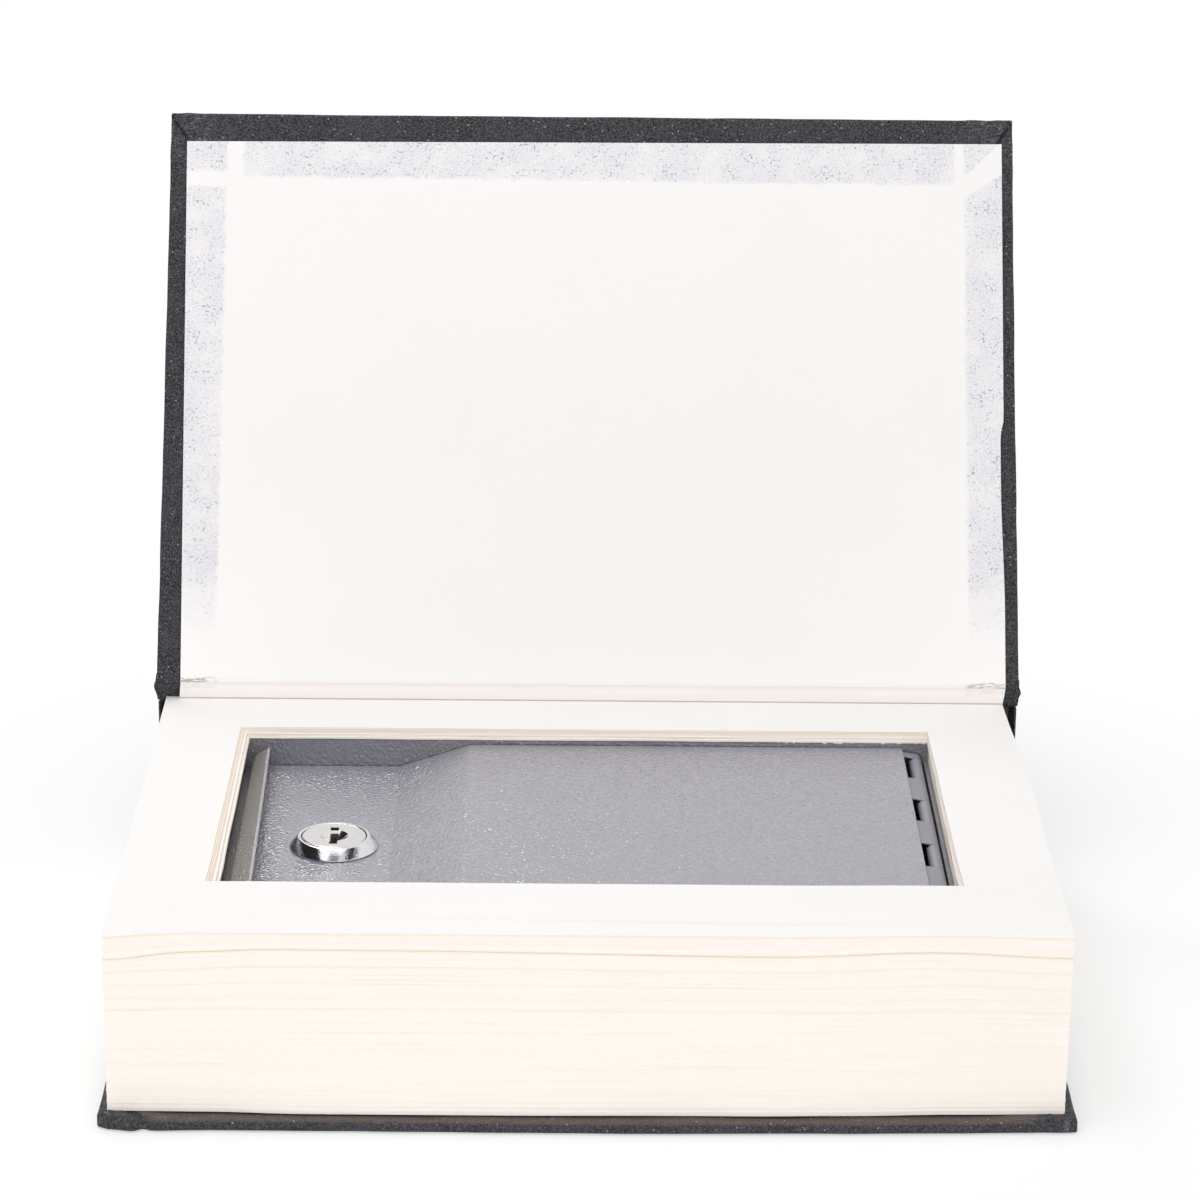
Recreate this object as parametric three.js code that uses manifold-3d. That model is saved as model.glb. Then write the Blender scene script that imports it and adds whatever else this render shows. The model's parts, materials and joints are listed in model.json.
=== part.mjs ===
// A hollowed book that hides a steel lock box: millimetres, +Z up.
// X runs along the height of the book (head at +X), +Y points to the spine.
// The origin is the centre of the closed book's footprint, on the underside of the back cover.
// The book lies on its back cover, with the front cover standing open as a leaning panel.
import * as THREE from 'three';
import { mergeVertices } from 'three/addons/utils/BufferGeometryUtils.js';
import Module from 'manifold-3d';

const wasm = await Module();
wasm.setup();

// Case: boards, covering cloth and endpapers
const coverWidth = 240;
const coverDepth = 174;
const boardThick = 2.2;
const clothThick = 0.4;
const paperThick = 0.3;
const turnIn = 15;
const pastedownInsetSide = 5;
const pastedownInsetFore = 7;
const jointReach = 3.5;
const hingeRise = 0.9;
const openAngle = 120;
const liningThick = 0.5;
const grooveRise = 1.6;

// Page block and the window cut through it
const squareEnds = 2.3;
const squareFore = 3.3;
const blockHeight = 45.1;
const sectionCount = 8;
const windowTailMargin = 22.7;
const windowHeadMargin = 24.3;
const windowForeMargin = 33.7;
const windowSpineMargin = 23.6;

// Steel box
const boxSheet = 1;
const bendRadius = 1.3;
const rimDrop = 2.9;
const restLip = 9;
const wallUnderHinge = 0.5;
const weldInset = 0.15;

// Lid
const lidSheet = 0.8;
const lidDrop = 1.2;
const lidEndGap = 0.4;
const lidSideGap = 1.1;
const recessDepth = 6.5;
const recessWidth = 42;
const rampRun = 19.4;
const lidHingeMargin = 5.9;
const lidCornerRadius = 1.6;
const pullHeight = 6.9;
const pullReach = 5.5;
const pullLean = 32;
const pullRadius = 2.6;

// Hinge
const knuckleRadius = 2.4;
const leafThick = 1;
const pinRadius = 1.3;
const pinClear = 0.1;
const leafWidth = 14;
const slotDepth = 0.7;
const firstKnuckle = 3.6;
const knuckleLength = 15.5;
const knuckleGap = 0.15;

// Cam lock
const lockFromWall = 27.2;
const lockForward = 4.5;
const bezelBase = 11.6;
const bezelTop = 9.55;
const bezelHeight = 3;
const bezelFoot = 0.5;
const barrelRadius = 8;
const barrelLength = 18;
const plugFace = 8.35;
const plugFaceThick = 1.5;
const plugRadius = 6;
const plugClear = 0.2;
const keywayWidth = 1.8;
const keywayHeight = 8.4;
const keywayFunnel = 3;
const keywayFunnelDepth = 1;
const keywayFloor = 5;
const waferCount = 5;
const waferThick = 0.6;
const waferWidth = 5;
const waferLength = 10.4;
const waferPitch = 2;
const waferFirst = 4.4;
const waferClear = 0.1;
const waferSill = 0.4;
const waferDepths = 3;
const nutFlats = 22;
const nutThick = 3.5;
const washerRadius = 10.6;
const washerThick = 0.8;
const tailSide = 6;
const tailClear = 0.15;
const camThick = 2;
const camLength = 24;
const camWidth = 14;
const camWasherRadius = 5.4;
const camWasherThick = 0.8;
const screwRadius = 1.6;
const screwDepth = 6;
const screwHead = 3.6;
const screwHeadHeight = 2.2;
const screwDome = 0.7;
const screwSocket = 1.5;
const screwSocketDepth = 1.2;

// Strike that the cam turns under
const strikeThick = 1.2;
const strikeReach = 11;
const strikeHeight = 13;
const strikeWidth = 30;
const strikeClear = 0.5;

// Clearances
const layerGap = 0.1;
const seatGap = 0.3;
const cutOver = 1;
const roundSteps = 32;

const DEGREE = Math.PI / 180;

// Materials
function finish(color, roughness, metalness) {
  return new THREE.MeshStandardMaterial({ color, roughness, metalness });
}
const bookcloth = finish(0x2b2b2e, 0.75, 0);
const greyboard = finish(0x8d8578, 0.9, 0);
const endpaper = finish(0xf7f4f1, 0.85, 0);
const pagePaper = finish(0xf6ecdf, 0.9, 0);
const liningPaper = finish(0xd8cbb4, 0.9, 0);
const hammerPaint = finish(0x8e8e96, 0.4, 0.2);
const hingeSteel = finish(0x8a8b91, 0.45, 0.3);
const pinSteel = finish(0xa9aaad, 0.35, 1);
const chromePlate = finish(0xd6d6d8, 0.12, 1);
const zincPlate = finish(0xb3b5b4, 0.35, 0.9);
const waferBrass = finish(0xb08d45, 0.35, 1);

// Turns a closed geometry into a solid that can be cut and joined
function solid(geometry) {
  const bare = geometry.index ? geometry.toNonIndexed() : geometry.clone();
  bare.deleteAttribute('normal');
  bare.deleteAttribute('uv');
  const merged = mergeVertices(bare, 1e-4);
  return new wasm.Manifold(new wasm.Mesh({
    numProp: 3,
    vertProperties: new Float32Array(merged.attributes.position.array),
    triVerts: new Uint32Array(merged.index.array),
  }));
}

// Turns a cut solid back into a geometry
function geometryOf(body) {
  const cut = body.getMesh();
  const geometry = new THREE.BufferGeometry();
  geometry.setAttribute('position', new THREE.BufferAttribute(new Float32Array(cut.vertProperties), 3));
  geometry.setIndex(new THREE.BufferAttribute(new Uint32Array(cut.triVerts), 1));
  geometry.computeVertexNormals();
  return geometry;
}

// A box between two corners
function slab(x0, x1, y0, y1, z0, z1) {
  const geometry = new THREE.BoxGeometry(x1 - x0, y1 - y0, z1 - z0);
  return geometry.translate((x0 + x1) / 2, (y0 + y1) / 2, (z0 + z1) / 2);
}

// An upright cylinder between two heights
function post(radius, z0, z1, steps = roundSteps) {
  const geometry = new THREE.CylinderGeometry(radius, radius, z1 - z0, steps);
  return geometry.rotateX(Math.PI / 2).translate(0, 0, (z0 + z1) / 2);
}

// A turned solid: the profile holds [radius, height] points of a closed loop
function turned(profile, steps = roundSteps) {
  const points = profile.map(([r, z]) => new THREE.Vector2(r, z));
  points.push(points[0].clone());
  return new THREE.LatheGeometry(points, steps).rotateX(Math.PI / 2);
}

// A flat outline in XY raised between two heights
function raised(shape, z0, z1, steps = 12) {
  const geometry = new THREE.ExtrudeGeometry(shape, {
    depth: z1 - z0,
    bevelEnabled: false,
    curveSegments: steps,
  });
  return geometry.translate(0, 0, z0);
}

// An outline in XZ drawn out along Y between two places
function alongY(shape, y0, y1, steps = 12) {
  return raised(shape, -y1, -y0, steps).rotateX(Math.PI / 2);
}

// An outline in YZ drawn out along X between two places
function alongX(shape, x0, x1, steps = 12) {
  return raised(shape, x0, x1, steps).rotateX(Math.PI / 2).rotateZ(Math.PI / 2);
}

// The middle line of a bent sheet: straight runs between corners, each corner an arc
function bentLine(corners, radii, arcSteps = 5) {
  const line = [];
  corners.forEach((corner, i) => {
    if (i === 0 || i === corners.length - 1) {
      const next = corners[i === 0 ? 1 : i - 1];
      const along = next.clone().sub(corner).normalize();
      const normal = new THREE.Vector2(-along.y, along.x).multiplyScalar(i === 0 ? 1 : -1);
      line.push({ at: corner.clone(), normal });
      return;
    }
    const before = corners[i - 1].clone().sub(corner).normalize();
    const after = corners[i + 1].clone().sub(corner).normalize();
    const half = Math.acos(THREE.MathUtils.clamp(before.dot(after), -1, 1)) / 2;
    const middle = before.clone().add(after).normalize();
    const radius = radii[i];
    const centre = corner.clone().addScaledVector(middle, radius / Math.sin(half));
    const turn = Math.sign(before.x * after.y - before.y * after.x);
    const first = corner.clone().addScaledVector(before, radius / Math.tan(half));
    const start = first.clone().sub(centre);
    const sweep = -turn * (Math.PI - 2 * half);
    for (let k = 0; k <= arcSteps; k += 1) {
      const spoke = start.clone().rotateAround(new THREE.Vector2(), (sweep * k) / arcSteps);
      const normal = spoke.clone().normalize().multiplyScalar(turn);
      line.push({ at: centre.clone().add(spoke), normal });
    }
  });
  return line;
}

// The closed outline of a bent sheet of one thickness; a corner may give its own bend radius
function bentSheet(corners, radius, thick, arcSteps) {
  const points = corners.map(([a, b]) => new THREE.Vector2(a, b));
  const radii = corners.map(([, , own]) => own ?? radius);
  const line = bentLine(points, radii, arcSteps);
  const left = line.map(({ at, normal }) => at.clone().addScaledVector(normal, thick / 2));
  const right = line.map(({ at, normal }) => at.clone().addScaledVector(normal, -thick / 2));
  return new THREE.Shape([...left, ...right.reverse()]);
}

const model = new THREE.Group();

function add(name, geometry, material, parent = model) {
  const mesh = new THREE.Mesh(geometry, material);
  mesh.name = name;
  parent.add(mesh);
  return mesh;
}

// Heights of the stack, from the table up
const coverThick = boardThick + 2 * clothThick + 2 * layerGap;
const backPasteBottom = coverThick + layerGap;
const blockBottom = backPasteBottom + paperThick + layerGap;
const blockTop = blockBottom + blockHeight;
const flyleafBottom = blockTop + layerGap;
const pageTop = flyleafBottom + paperThick;

// Places across the book
const sideX = coverWidth / 2;
const foreY = -coverDepth / 2;
const spineOutY = coverDepth / 2;
const spineBoardY = spineOutY - clothThick - layerGap - boardThick;
const liningY = spineBoardY - layerGap - liningThick;
const blockBackY = liningY - layerGap;
const blockForeY = foreY + squareFore;
const blockSideX = sideX - squareEnds;

// The front cover turns on this line, so that its end clears the pages when it lies straight back
const hingeY = blockBackY - jointReach + layerGap;
const closedPasteZ = pageTop + seatGap;
const closedInnerZ = closedPasteZ + paperThick + layerGap;
const hingeZ = closedInnerZ + hingeRise;
const boardEndY = hingeY - jointReach;
const spineTop = hingeZ - (coverThick - hingeRise) - seatGap;

// Window through the pages
const windowX0 = -blockSideX + windowTailMargin;
const windowX1 = blockSideX - windowHeadMargin;
const windowY0 = blockForeY + windowForeMargin;
const windowY1 = blockBackY - windowSpineMargin;

// A board wrapped by cloth, drawn with its outer face down, from a fore edge to a joint edge
function clothWrap(y0, y1, z0) {
  const outer = slab(-sideX, sideX, y0, y1, z0, z0 + coverThick);
  const hollow = slab(
    -sideX + clothThick, sideX - clothThick,
    y0 + clothThick, y1 + cutOver,
    z0 + clothThick, z0 + coverThick - clothThick,
  );
  const opening = slab(
    -sideX + turnIn, sideX - turnIn,
    y0 + turnIn, y1 + cutOver,
    z0 + clothThick, z0 + coverThick + cutOver,
  );
  return geometryOf(solid(outer).subtract(solid(hollow)).subtract(solid(opening)));
}

function boardIn(y0, y1, z0) {
  const inset = clothThick + layerGap;
  return slab(-sideX + inset, sideX - inset, y0 + inset, y1, z0 + inset, z0 + inset + boardThick);
}

function pasteOn(y0, y1, z0) {
  return slab(
    -sideX + pastedownInsetSide, sideX - pastedownInsetSide,
    y0 + pastedownInsetFore, y1,
    z0, z0 + paperThick,
  );
}

// Back cover
add('back_cover_cloth', clothWrap(foreY, boardEndY, 0), bookcloth);
add('back_board', boardIn(foreY, boardEndY, 0), greyboard);
add('back_pastedown', pasteOn(foreY, boardEndY, backPasteBottom), endpaper);

// The cloth dips into a groove where the back cover bends
const grooveEnd = spineBoardY - layerGap;
const grooveShape = bentSheet([
  [boardEndY + layerGap, clothThick / 2],
  [(boardEndY + grooveEnd) / 2, grooveRise],
  [grooveEnd, clothThick / 2],
], jointReach / 2, clothThick);
add('back_joint_cloth', alongX(grooveShape, -sideX, sideX), bookcloth);

// Spine: a board, its cloth and the lining glued to the pages
add('spine_board', slab(
  -sideX + clothThick + layerGap, sideX - clothThick - layerGap,
  spineBoardY, spineBoardY + boardThick,
  clothThick + layerGap, spineTop - clothThick - layerGap,
), greyboard);
const spineShell = solid(slab(-sideX, sideX, spineBoardY, spineOutY, 0, spineTop));
const spineHollow = solid(slab(
  -sideX + clothThick, sideX - clothThick,
  spineBoardY - cutOver, spineOutY - clothThick,
  clothThick, spineTop - clothThick,
));
add('spine_cloth', geometryOf(spineShell.subtract(spineHollow)), bookcloth);
add('spine_lining', slab(
  -blockSideX, blockSideX,
  liningY, liningY + liningThick,
  blockBottom, spineTop - seatGap,
), liningPaper);

// The strip of cloth that the front cover turns on, curved round the hinge line
const jointRadius = jointReach - seatGap - clothThick / 2;
const jointFrom = -26 * DEGREE;
const jointTo = 62 * DEGREE;
const jointSteps = 8;
const jointOutline = [];
for (let k = 0; k <= jointSteps; k += 1) {
  const angle = jointFrom + ((jointTo - jointFrom) * k) / jointSteps;
  const reach = jointRadius + clothThick / 2;
  jointOutline.push(new THREE.Vector2(hingeY + reach * Math.cos(angle), hingeZ + reach * Math.sin(angle)));
}
for (let k = jointSteps; k >= 0; k -= 1) {
  const angle = jointFrom + ((jointTo - jointFrom) * k) / jointSteps;
  const reach = jointRadius - clothThick / 2;
  jointOutline.push(new THREE.Vector2(hingeY + reach * Math.cos(angle), hingeZ + reach * Math.sin(angle)));
}
add('front_joint_cloth', alongX(new THREE.Shape(jointOutline), -sideX, sideX), bookcloth);

// Pages: a stack of sections, each with the window cut through it, under the flyleaf
function pageRing(z0, z1) {
  const sheet = new THREE.Shape([
    new THREE.Vector2(-blockSideX, blockForeY),
    new THREE.Vector2(blockSideX, blockForeY),
    new THREE.Vector2(blockSideX, blockBackY),
    new THREE.Vector2(-blockSideX, blockBackY),
  ]);
  sheet.holes.push(new THREE.Path([
    new THREE.Vector2(windowX0, windowY0),
    new THREE.Vector2(windowX0, windowY1),
    new THREE.Vector2(windowX1, windowY1),
    new THREE.Vector2(windowX1, windowY0),
  ]));
  return raised(sheet, z0, z1);
}
const sectionPitch = (blockHeight + layerGap) / sectionCount;
for (let i = 0; i < sectionCount; i += 1) {
  const bottom = blockBottom + i * sectionPitch;
  add(`page_section_${i + 1}`, pageRing(bottom, bottom + sectionPitch - layerGap), pagePaper);
}
add('front_flyleaf', pageRing(flyleafBottom, pageTop), endpaper);

// Front cover: drawn shut, outer face up, about the hinge line, then swung open
const frontCover = new THREE.Group();
frontCover.position.set(0, hingeY, hingeZ);
frontCover.rotation.x = -openAngle * DEGREE;
model.add(frontCover);
const coverFore = foreY - hingeY;
const coverEnd = boardEndY - hingeY;
const coverOuter = coverThick - hingeRise;
const flip = (geometry) => geometry.rotateY(Math.PI);
add('front_cover_cloth', flip(clothWrap(coverFore, coverEnd, -coverOuter)), bookcloth, frontCover);
add('front_board', flip(boardIn(coverFore, coverEnd, -coverOuter)), greyboard, frontCover);
const frontPasteZ = hingeRise + layerGap;
add('front_pastedown', flip(pasteOn(coverFore, coverEnd, frontPasteZ)), endpaper, frontCover);

// Steel box: bent sheet walls, lower at the lid's pull side and under the hinge
const boxX0 = windowX0 + seatGap;
const boxX1 = windowX1 - seatGap;
const boxY0 = windowY0 + seatGap;
const boxY1 = windowY1 - seatGap;
const boxZ0 = blockBottom;
const rimZ = pageTop - rimDrop;
const innerX0 = boxX0 + boxSheet;
const innerX1 = boxX1 - boxSheet;
const innerY0 = boxY0 + boxSheet;
const innerY1 = boxY1 - boxSheet;

// Heights of the lid and of what it meets
const lidTop = rimZ - lidDrop;
const lidBottom = lidTop - lidSheet;
const recessTop = lidTop - recessDepth;
const recessBottom = recessTop - lidSheet;
const restTop = recessBottom - seatGap;
const axisX = innerX1 - layerGap - knuckleRadius;
const axisZ = lidBottom - layerGap - knuckleRadius;
const hingeWallTop = axisZ - wallUnderHinge;

const half = boxSheet / 2;
const endWalls = alongY(bentSheet([
  [innerX0 + restLip, restTop - half],
  [boxX0 + half, restTop - half],
  [boxX0 + half, boxZ0 + half],
  [boxX1 - half, boxZ0 + half],
  [boxX1 - half, hingeWallTop],
], bendRadius, boxSheet), boxY0 + weldInset, boxY1 - weldInset);
const plateRadius = bendRadius + half;
const plateShape = new THREE.Shape();
plateShape.moveTo(boxX0 + weldInset, rimZ);
plateShape.lineTo(boxX0 + weldInset, boxZ0 + weldInset + plateRadius);
plateShape.absarc(
  boxX0 + weldInset + plateRadius, boxZ0 + weldInset + plateRadius,
  plateRadius, Math.PI, 1.5 * Math.PI,
);
plateShape.lineTo(boxX1 - weldInset - plateRadius, boxZ0 + weldInset);
plateShape.absarc(
  boxX1 - weldInset - plateRadius, boxZ0 + weldInset + plateRadius,
  plateRadius, 1.5 * Math.PI, 2 * Math.PI,
);
plateShape.lineTo(boxX1 - weldInset, rimZ);
const boxSolid = solid(endWalls)
  .add(solid(alongY(plateShape, boxY0, innerY0, 6)))
  .add(solid(alongY(plateShape, innerY1, boxY1, 6)));
add('box_body', geometryOf(boxSolid), hammerPaint);

// Lid: one bent sheet with a sunken lock panel, a ramp and a curled pull along its free edge
const lidX0 = innerX0 + lidSideGap;
const lidX1 = innerX1 - lidHingeMargin;
const lidY0 = innerY0 + lidEndGap;
const lidY1 = innerY1 - lidEndGap;
const lidHalf = lidSheet / 2;
const recessX = innerX0 + recessWidth;
const pullX = lidX0 + lidHalf;
const pullTop = recessBottom + pullHeight;
const pullTipX = lidX0 + pullReach;
const pullBendZ = pullTop - (pullTipX - pullX) * Math.tan(pullLean * DEGREE);
const lidProfile = bentSheet([
  [pullTipX, pullTop],
  [pullX, pullBendZ, pullRadius],
  [pullX, recessBottom + lidHalf],
  [recessX, recessBottom + lidHalf],
  [recessX + rampRun, lidBottom + lidHalf],
  [lidX1, lidBottom + lidHalf],
], bendRadius, lidSheet);
const lidPlan = new THREE.Shape();
lidPlan.moveTo(lidX0 - cutOver, lidY0);
lidPlan.lineTo(lidX1 - lidCornerRadius, lidY0);
lidPlan.absarc(lidX1 - lidCornerRadius, lidY0 + lidCornerRadius, lidCornerRadius, -Math.PI / 2, 0);
lidPlan.lineTo(lidX1, lidY1 - lidCornerRadius);
lidPlan.absarc(lidX1 - lidCornerRadius, lidY1 - lidCornerRadius, lidCornerRadius, 0, Math.PI / 2);
lidPlan.lineTo(lidX0 - cutOver, lidY1);
const lockX = innerX0 + lockFromWall;
const lockY = (boxY0 + boxY1) / 2 - lockForward;
const lockHole = post(barrelRadius + plugClear, recessBottom - cutOver, recessTop + cutOver);
const lidSolid = solid(alongY(lidProfile, lidY0, lidY1))
  .intersect(solid(raised(lidPlan, recessBottom - cutOver, lidTop + cutOver, 5)))
  .subtract(solid(lockHole.translate(lockX, lockY, 0)));
add('box_lid', geometryOf(lidSolid), hammerPaint);

// Hinge: knuckles of the lid leaf and the body leaf take turns along one pin
const knuckles = [];
let knuckleStart = lidY1;
while (knuckleStart > lidY0) {
  const length = knuckles.length === 0 ? firstKnuckle : knuckleLength;
  const end = Math.max(knuckleStart - length, lidY0);
  const onLid = knuckles.length % 2 === 0;
  knuckles.push({ onLid, y0: end + knuckleGap / 2, y1: knuckleStart - knuckleGap / 2 });
  knuckleStart = end;
}
function rolledKnuckle(y0, y1) {
  const ring = new THREE.Shape();
  ring.absarc(axisX, axisZ, knuckleRadius, 0, 2 * Math.PI);
  const bore = new THREE.Path();
  bore.absarc(axisX, axisZ, pinRadius + pinClear, 0, 2 * Math.PI, true);
  ring.holes.push(bore);
  return solid(alongY(ring, y0, y1, 12));
}
const pinTunnel = new THREE.Shape();
pinTunnel.absarc(axisX, axisZ, pinRadius + pinClear, 0, 2 * Math.PI);
const pinBore = solid(alongY(pinTunnel, lidY0 - cutOver, lidY1 + cutOver, 12));
const slotX = lidX1 - slotDepth;
const lidLeafZ = axisZ + knuckleRadius - leafThick;
const bodyLeafX = axisX + knuckleRadius - leafThick;
const bodySlotZ = axisZ - knuckleRadius - slotDepth;
let lidLeaf = solid(slab(axisX - leafWidth, slotX, lidY0, lidY1, lidLeafZ, lidLeafZ + leafThick));
let bodyLeaf = solid(slab(
  bodyLeafX, bodyLeafX + leafThick,
  lidY0, lidY1,
  axisZ - leafWidth, bodySlotZ,
));
for (const { onLid, y0, y1 } of knuckles) {
  if (onLid) {
    const tab = slab(slotX - cutOver, axisX, y0, y1, lidLeafZ, lidLeafZ + leafThick);
    lidLeaf = lidLeaf.add(solid(tab)).add(rolledKnuckle(y0, y1));
  } else {
    const tab = slab(bodyLeafX, bodyLeafX + leafThick, y0, y1, bodySlotZ - cutOver, axisZ);
    bodyLeaf = bodyLeaf.add(solid(tab)).add(rolledKnuckle(y0, y1));
  }
}
add('hinge_lid_leaf', geometryOf(lidLeaf.subtract(pinBore)), hingeSteel);
add('hinge_body_leaf', geometryOf(bodyLeaf.subtract(pinBore)), hingeSteel);
const pinShape = new THREE.Shape();
pinShape.absarc(axisX, axisZ, pinRadius, 0, 2 * Math.PI);
add('hinge_pin', alongY(pinShape, lidY0, lidY1, 12), pinSteel);

// Cam lock, drawn about its own axis with the sunken panel's top at height 0
const lock = new THREE.Group();
lock.position.set(lockX, lockY, recessTop);
model.add(lock);
const barrelBottom = -barrelLength;
const faceSeat = bezelHeight - plugFaceThick - plugClear;
const barrelBore = plugRadius + plugClear;
add('lock_housing', turned([
  [barrelBore, barrelBottom],
  [barrelRadius, barrelBottom],
  [barrelRadius, layerGap],
  [bezelBase, layerGap],
  [bezelBase, bezelFoot],
  [bezelTop, bezelHeight],
  [plugFace + plugClear, bezelHeight],
  [plugFace + plugClear, faceSeat],
  [barrelBore, faceSeat],
]), chromePlate, lock);

const washerTop = -lidSheet - layerGap;
const nutTop = washerTop - washerThick - layerGap;
const threadClear = barrelRadius + plugClear;
add('lock_washer', turned([
  [threadClear, washerTop - washerThick],
  [washerRadius, washerTop - washerThick],
  [washerRadius, washerTop],
  [threadClear, washerTop],
]), zincPlate, lock);
const nutCorner = nutFlats / Math.sqrt(3);
const nutBody = solid(post(nutCorner, nutTop - nutThick, nutTop, 6));
const nutBore = solid(post(threadClear, nutTop - nutThick - cutOver, nutTop + cutOver));
add('lock_nut', geometryOf(nutBody.subtract(nutBore)), zincPlate, lock);

// Plug: face, keyway, wafer slots and a square tail for the cam
const plugShoulder = barrelBottom - seatGap;
const camTop = plugShoulder - layerGap;
const camBottom = camTop - camThick;
const tailBottom = camBottom + layerGap;
let plug = solid(turned([
  [0, plugShoulder],
  [plugRadius, plugShoulder],
  [plugRadius, bezelHeight - plugFaceThick],
  [plugFace, bezelHeight - plugFaceThick],
  [plugFace, bezelHeight],
  [0, bezelHeight],
]));
const tailHalf = tailSide / 2;
plug = plug.add(solid(slab(-tailHalf, tailHalf, -tailHalf, tailHalf, tailBottom, plugShoulder + cutOver)));
plug = plug.subtract(solid(slab(
  -keywayWidth / 2, keywayWidth / 2,
  -keywayHeight / 2, keywayHeight / 2,
  plugShoulder + keywayFloor, bezelHeight + cutOver,
)));
plug = plug.subtract(solid(turned([
  [0, bezelHeight - keywayFunnelDepth],
  [keywayFunnel, bezelHeight],
  [keywayFunnel, bezelHeight + cutOver],
  [0, bezelHeight + cutOver],
])));
plug = plug.subtract(solid(post(screwRadius + tailClear, tailBottom - cutOver, tailBottom + screwDepth, 16)));
const waferTops = [];
for (let i = 0; i < waferCount; i += 1) {
  waferTops.push(bezelHeight - waferFirst - i * waferPitch);
}
for (const top of waferTops) {
  plug = plug.subtract(solid(slab(
    -waferWidth / 2 - waferClear, waferWidth / 2 + waferClear,
    -plugRadius - cutOver, plugRadius + cutOver,
    top - waferThick - waferClear, top + waferClear,
  )));
}
add('lock_plug', geometryOf(plug), chromePlate, lock);

// Wafers: thin plates with a key window, drawn in as with the key in
waferTops.forEach((top, i) => {
  const plate = new THREE.Shape([
    new THREE.Vector2(-waferWidth / 2, -waferLength / 2),
    new THREE.Vector2(waferWidth / 2, -waferLength / 2),
    new THREE.Vector2(waferWidth / 2, waferLength / 2),
    new THREE.Vector2(-waferWidth / 2, waferLength / 2),
  ]);
  const sill = -keywayHeight / 2 + (i % waferDepths) * waferSill;
  plate.holes.push(new THREE.Path([
    new THREE.Vector2(-keywayWidth / 2 - waferClear, sill),
    new THREE.Vector2(-keywayWidth / 2 - waferClear, keywayHeight / 2),
    new THREE.Vector2(keywayWidth / 2 + waferClear, keywayHeight / 2),
    new THREE.Vector2(keywayWidth / 2 + waferClear, sill),
  ]));
  add(`lock_wafer_${i + 1}`, raised(plate, top - waferThick, top), waferBrass, lock);
});

// Cam: a flat arm on the square tail, pointing to the fore edge when unlocked
const camShape = new THREE.Shape();
camShape.absarc(0, 0, camWidth / 2, 0, Math.PI);
camShape.lineTo(-camWidth / 2, -camLength);
camShape.lineTo(camWidth / 2, -camLength);
const tailHole = tailHalf + tailClear;
camShape.holes.push(new THREE.Path([
  new THREE.Vector2(-tailHole, -tailHole),
  new THREE.Vector2(-tailHole, tailHole),
  new THREE.Vector2(tailHole, tailHole),
  new THREE.Vector2(tailHole, -tailHole),
]));
add('lock_cam', raised(camShape, camBottom, camTop), zincPlate, lock);
const camWasherTop = camBottom - layerGap;
const screwTop = camWasherTop - camWasherThick - layerGap;
add('cam_washer', turned([
  [screwRadius + tailClear, camWasherTop - camWasherThick],
  [camWasherRadius, camWasherTop - camWasherThick],
  [camWasherRadius, camWasherTop],
  [screwRadius + tailClear, camWasherTop],
]), zincPlate, lock);
const screwBody = solid(turned([
  [0, screwTop - screwHeadHeight],
  [screwHead - screwDome, screwTop - screwHeadHeight],
  [screwHead, screwTop - screwHeadHeight + screwDome],
  [screwHead, screwTop],
  [screwRadius, screwTop],
  [screwRadius, tailBottom + screwDepth - seatGap],
  [0, tailBottom + screwDepth - seatGap],
], 16));
const socketZ = screwTop - screwHeadHeight;
const screwDrive = solid(post(screwSocket, socketZ - cutOver, socketZ + screwSocketDepth, 6));
add('cam_screw', geometryOf(screwBody.subtract(screwDrive)), zincPlate, lock);

// Strike: a bent bracket on the wall by the pull, with a ledge that the cam turns under
const strikeX = innerX0 + layerGap + strikeThick / 2;
const ledgeZ = recessTop + camTop + strikeClear + strikeThick / 2;
const strikeShape = bentSheet([
  [innerX0 + strikeReach, ledgeZ],
  [strikeX, ledgeZ],
  [strikeX, ledgeZ + strikeHeight],
], bendRadius, strikeThick);
add('strike_bracket', alongY(
  strikeShape,
  lockY - strikeWidth / 2,
  lockY + strikeWidth / 2,
), zincPlate);

export default model;
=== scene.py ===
"""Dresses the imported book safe: case, pages, steel box, hinge and cam lock.

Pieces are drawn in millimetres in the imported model's frame and made metres when they are finished.
"""

import json
import math
import random
from functools import partial

import bmesh
import bpy
from bpy.props import FloatProperty, FloatVectorProperty, IntProperty, PointerProperty
from bpy.types import Operator, Panel, PropertyGroup
from mathutils import Matrix, Vector, noise


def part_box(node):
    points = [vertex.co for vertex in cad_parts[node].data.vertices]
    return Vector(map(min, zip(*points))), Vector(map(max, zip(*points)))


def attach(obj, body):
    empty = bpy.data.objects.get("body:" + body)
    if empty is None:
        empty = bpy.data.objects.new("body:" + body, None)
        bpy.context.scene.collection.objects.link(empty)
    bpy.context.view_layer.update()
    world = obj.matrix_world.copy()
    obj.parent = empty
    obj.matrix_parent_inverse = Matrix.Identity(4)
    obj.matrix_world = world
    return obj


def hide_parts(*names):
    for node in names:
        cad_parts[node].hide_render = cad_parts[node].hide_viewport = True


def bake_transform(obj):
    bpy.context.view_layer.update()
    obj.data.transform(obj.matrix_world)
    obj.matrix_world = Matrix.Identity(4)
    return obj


bl_info = {
    "name": "Book safe",
    "version": (1, 0, 0),
    "blender": (4, 5, 0),
    "location": "View3D > Sidebar > Book Safe",
    "description": "Dresses a book safe: covers, leaves, steel box, hinge and cam lock",
    "category": "Object",
}

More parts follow.
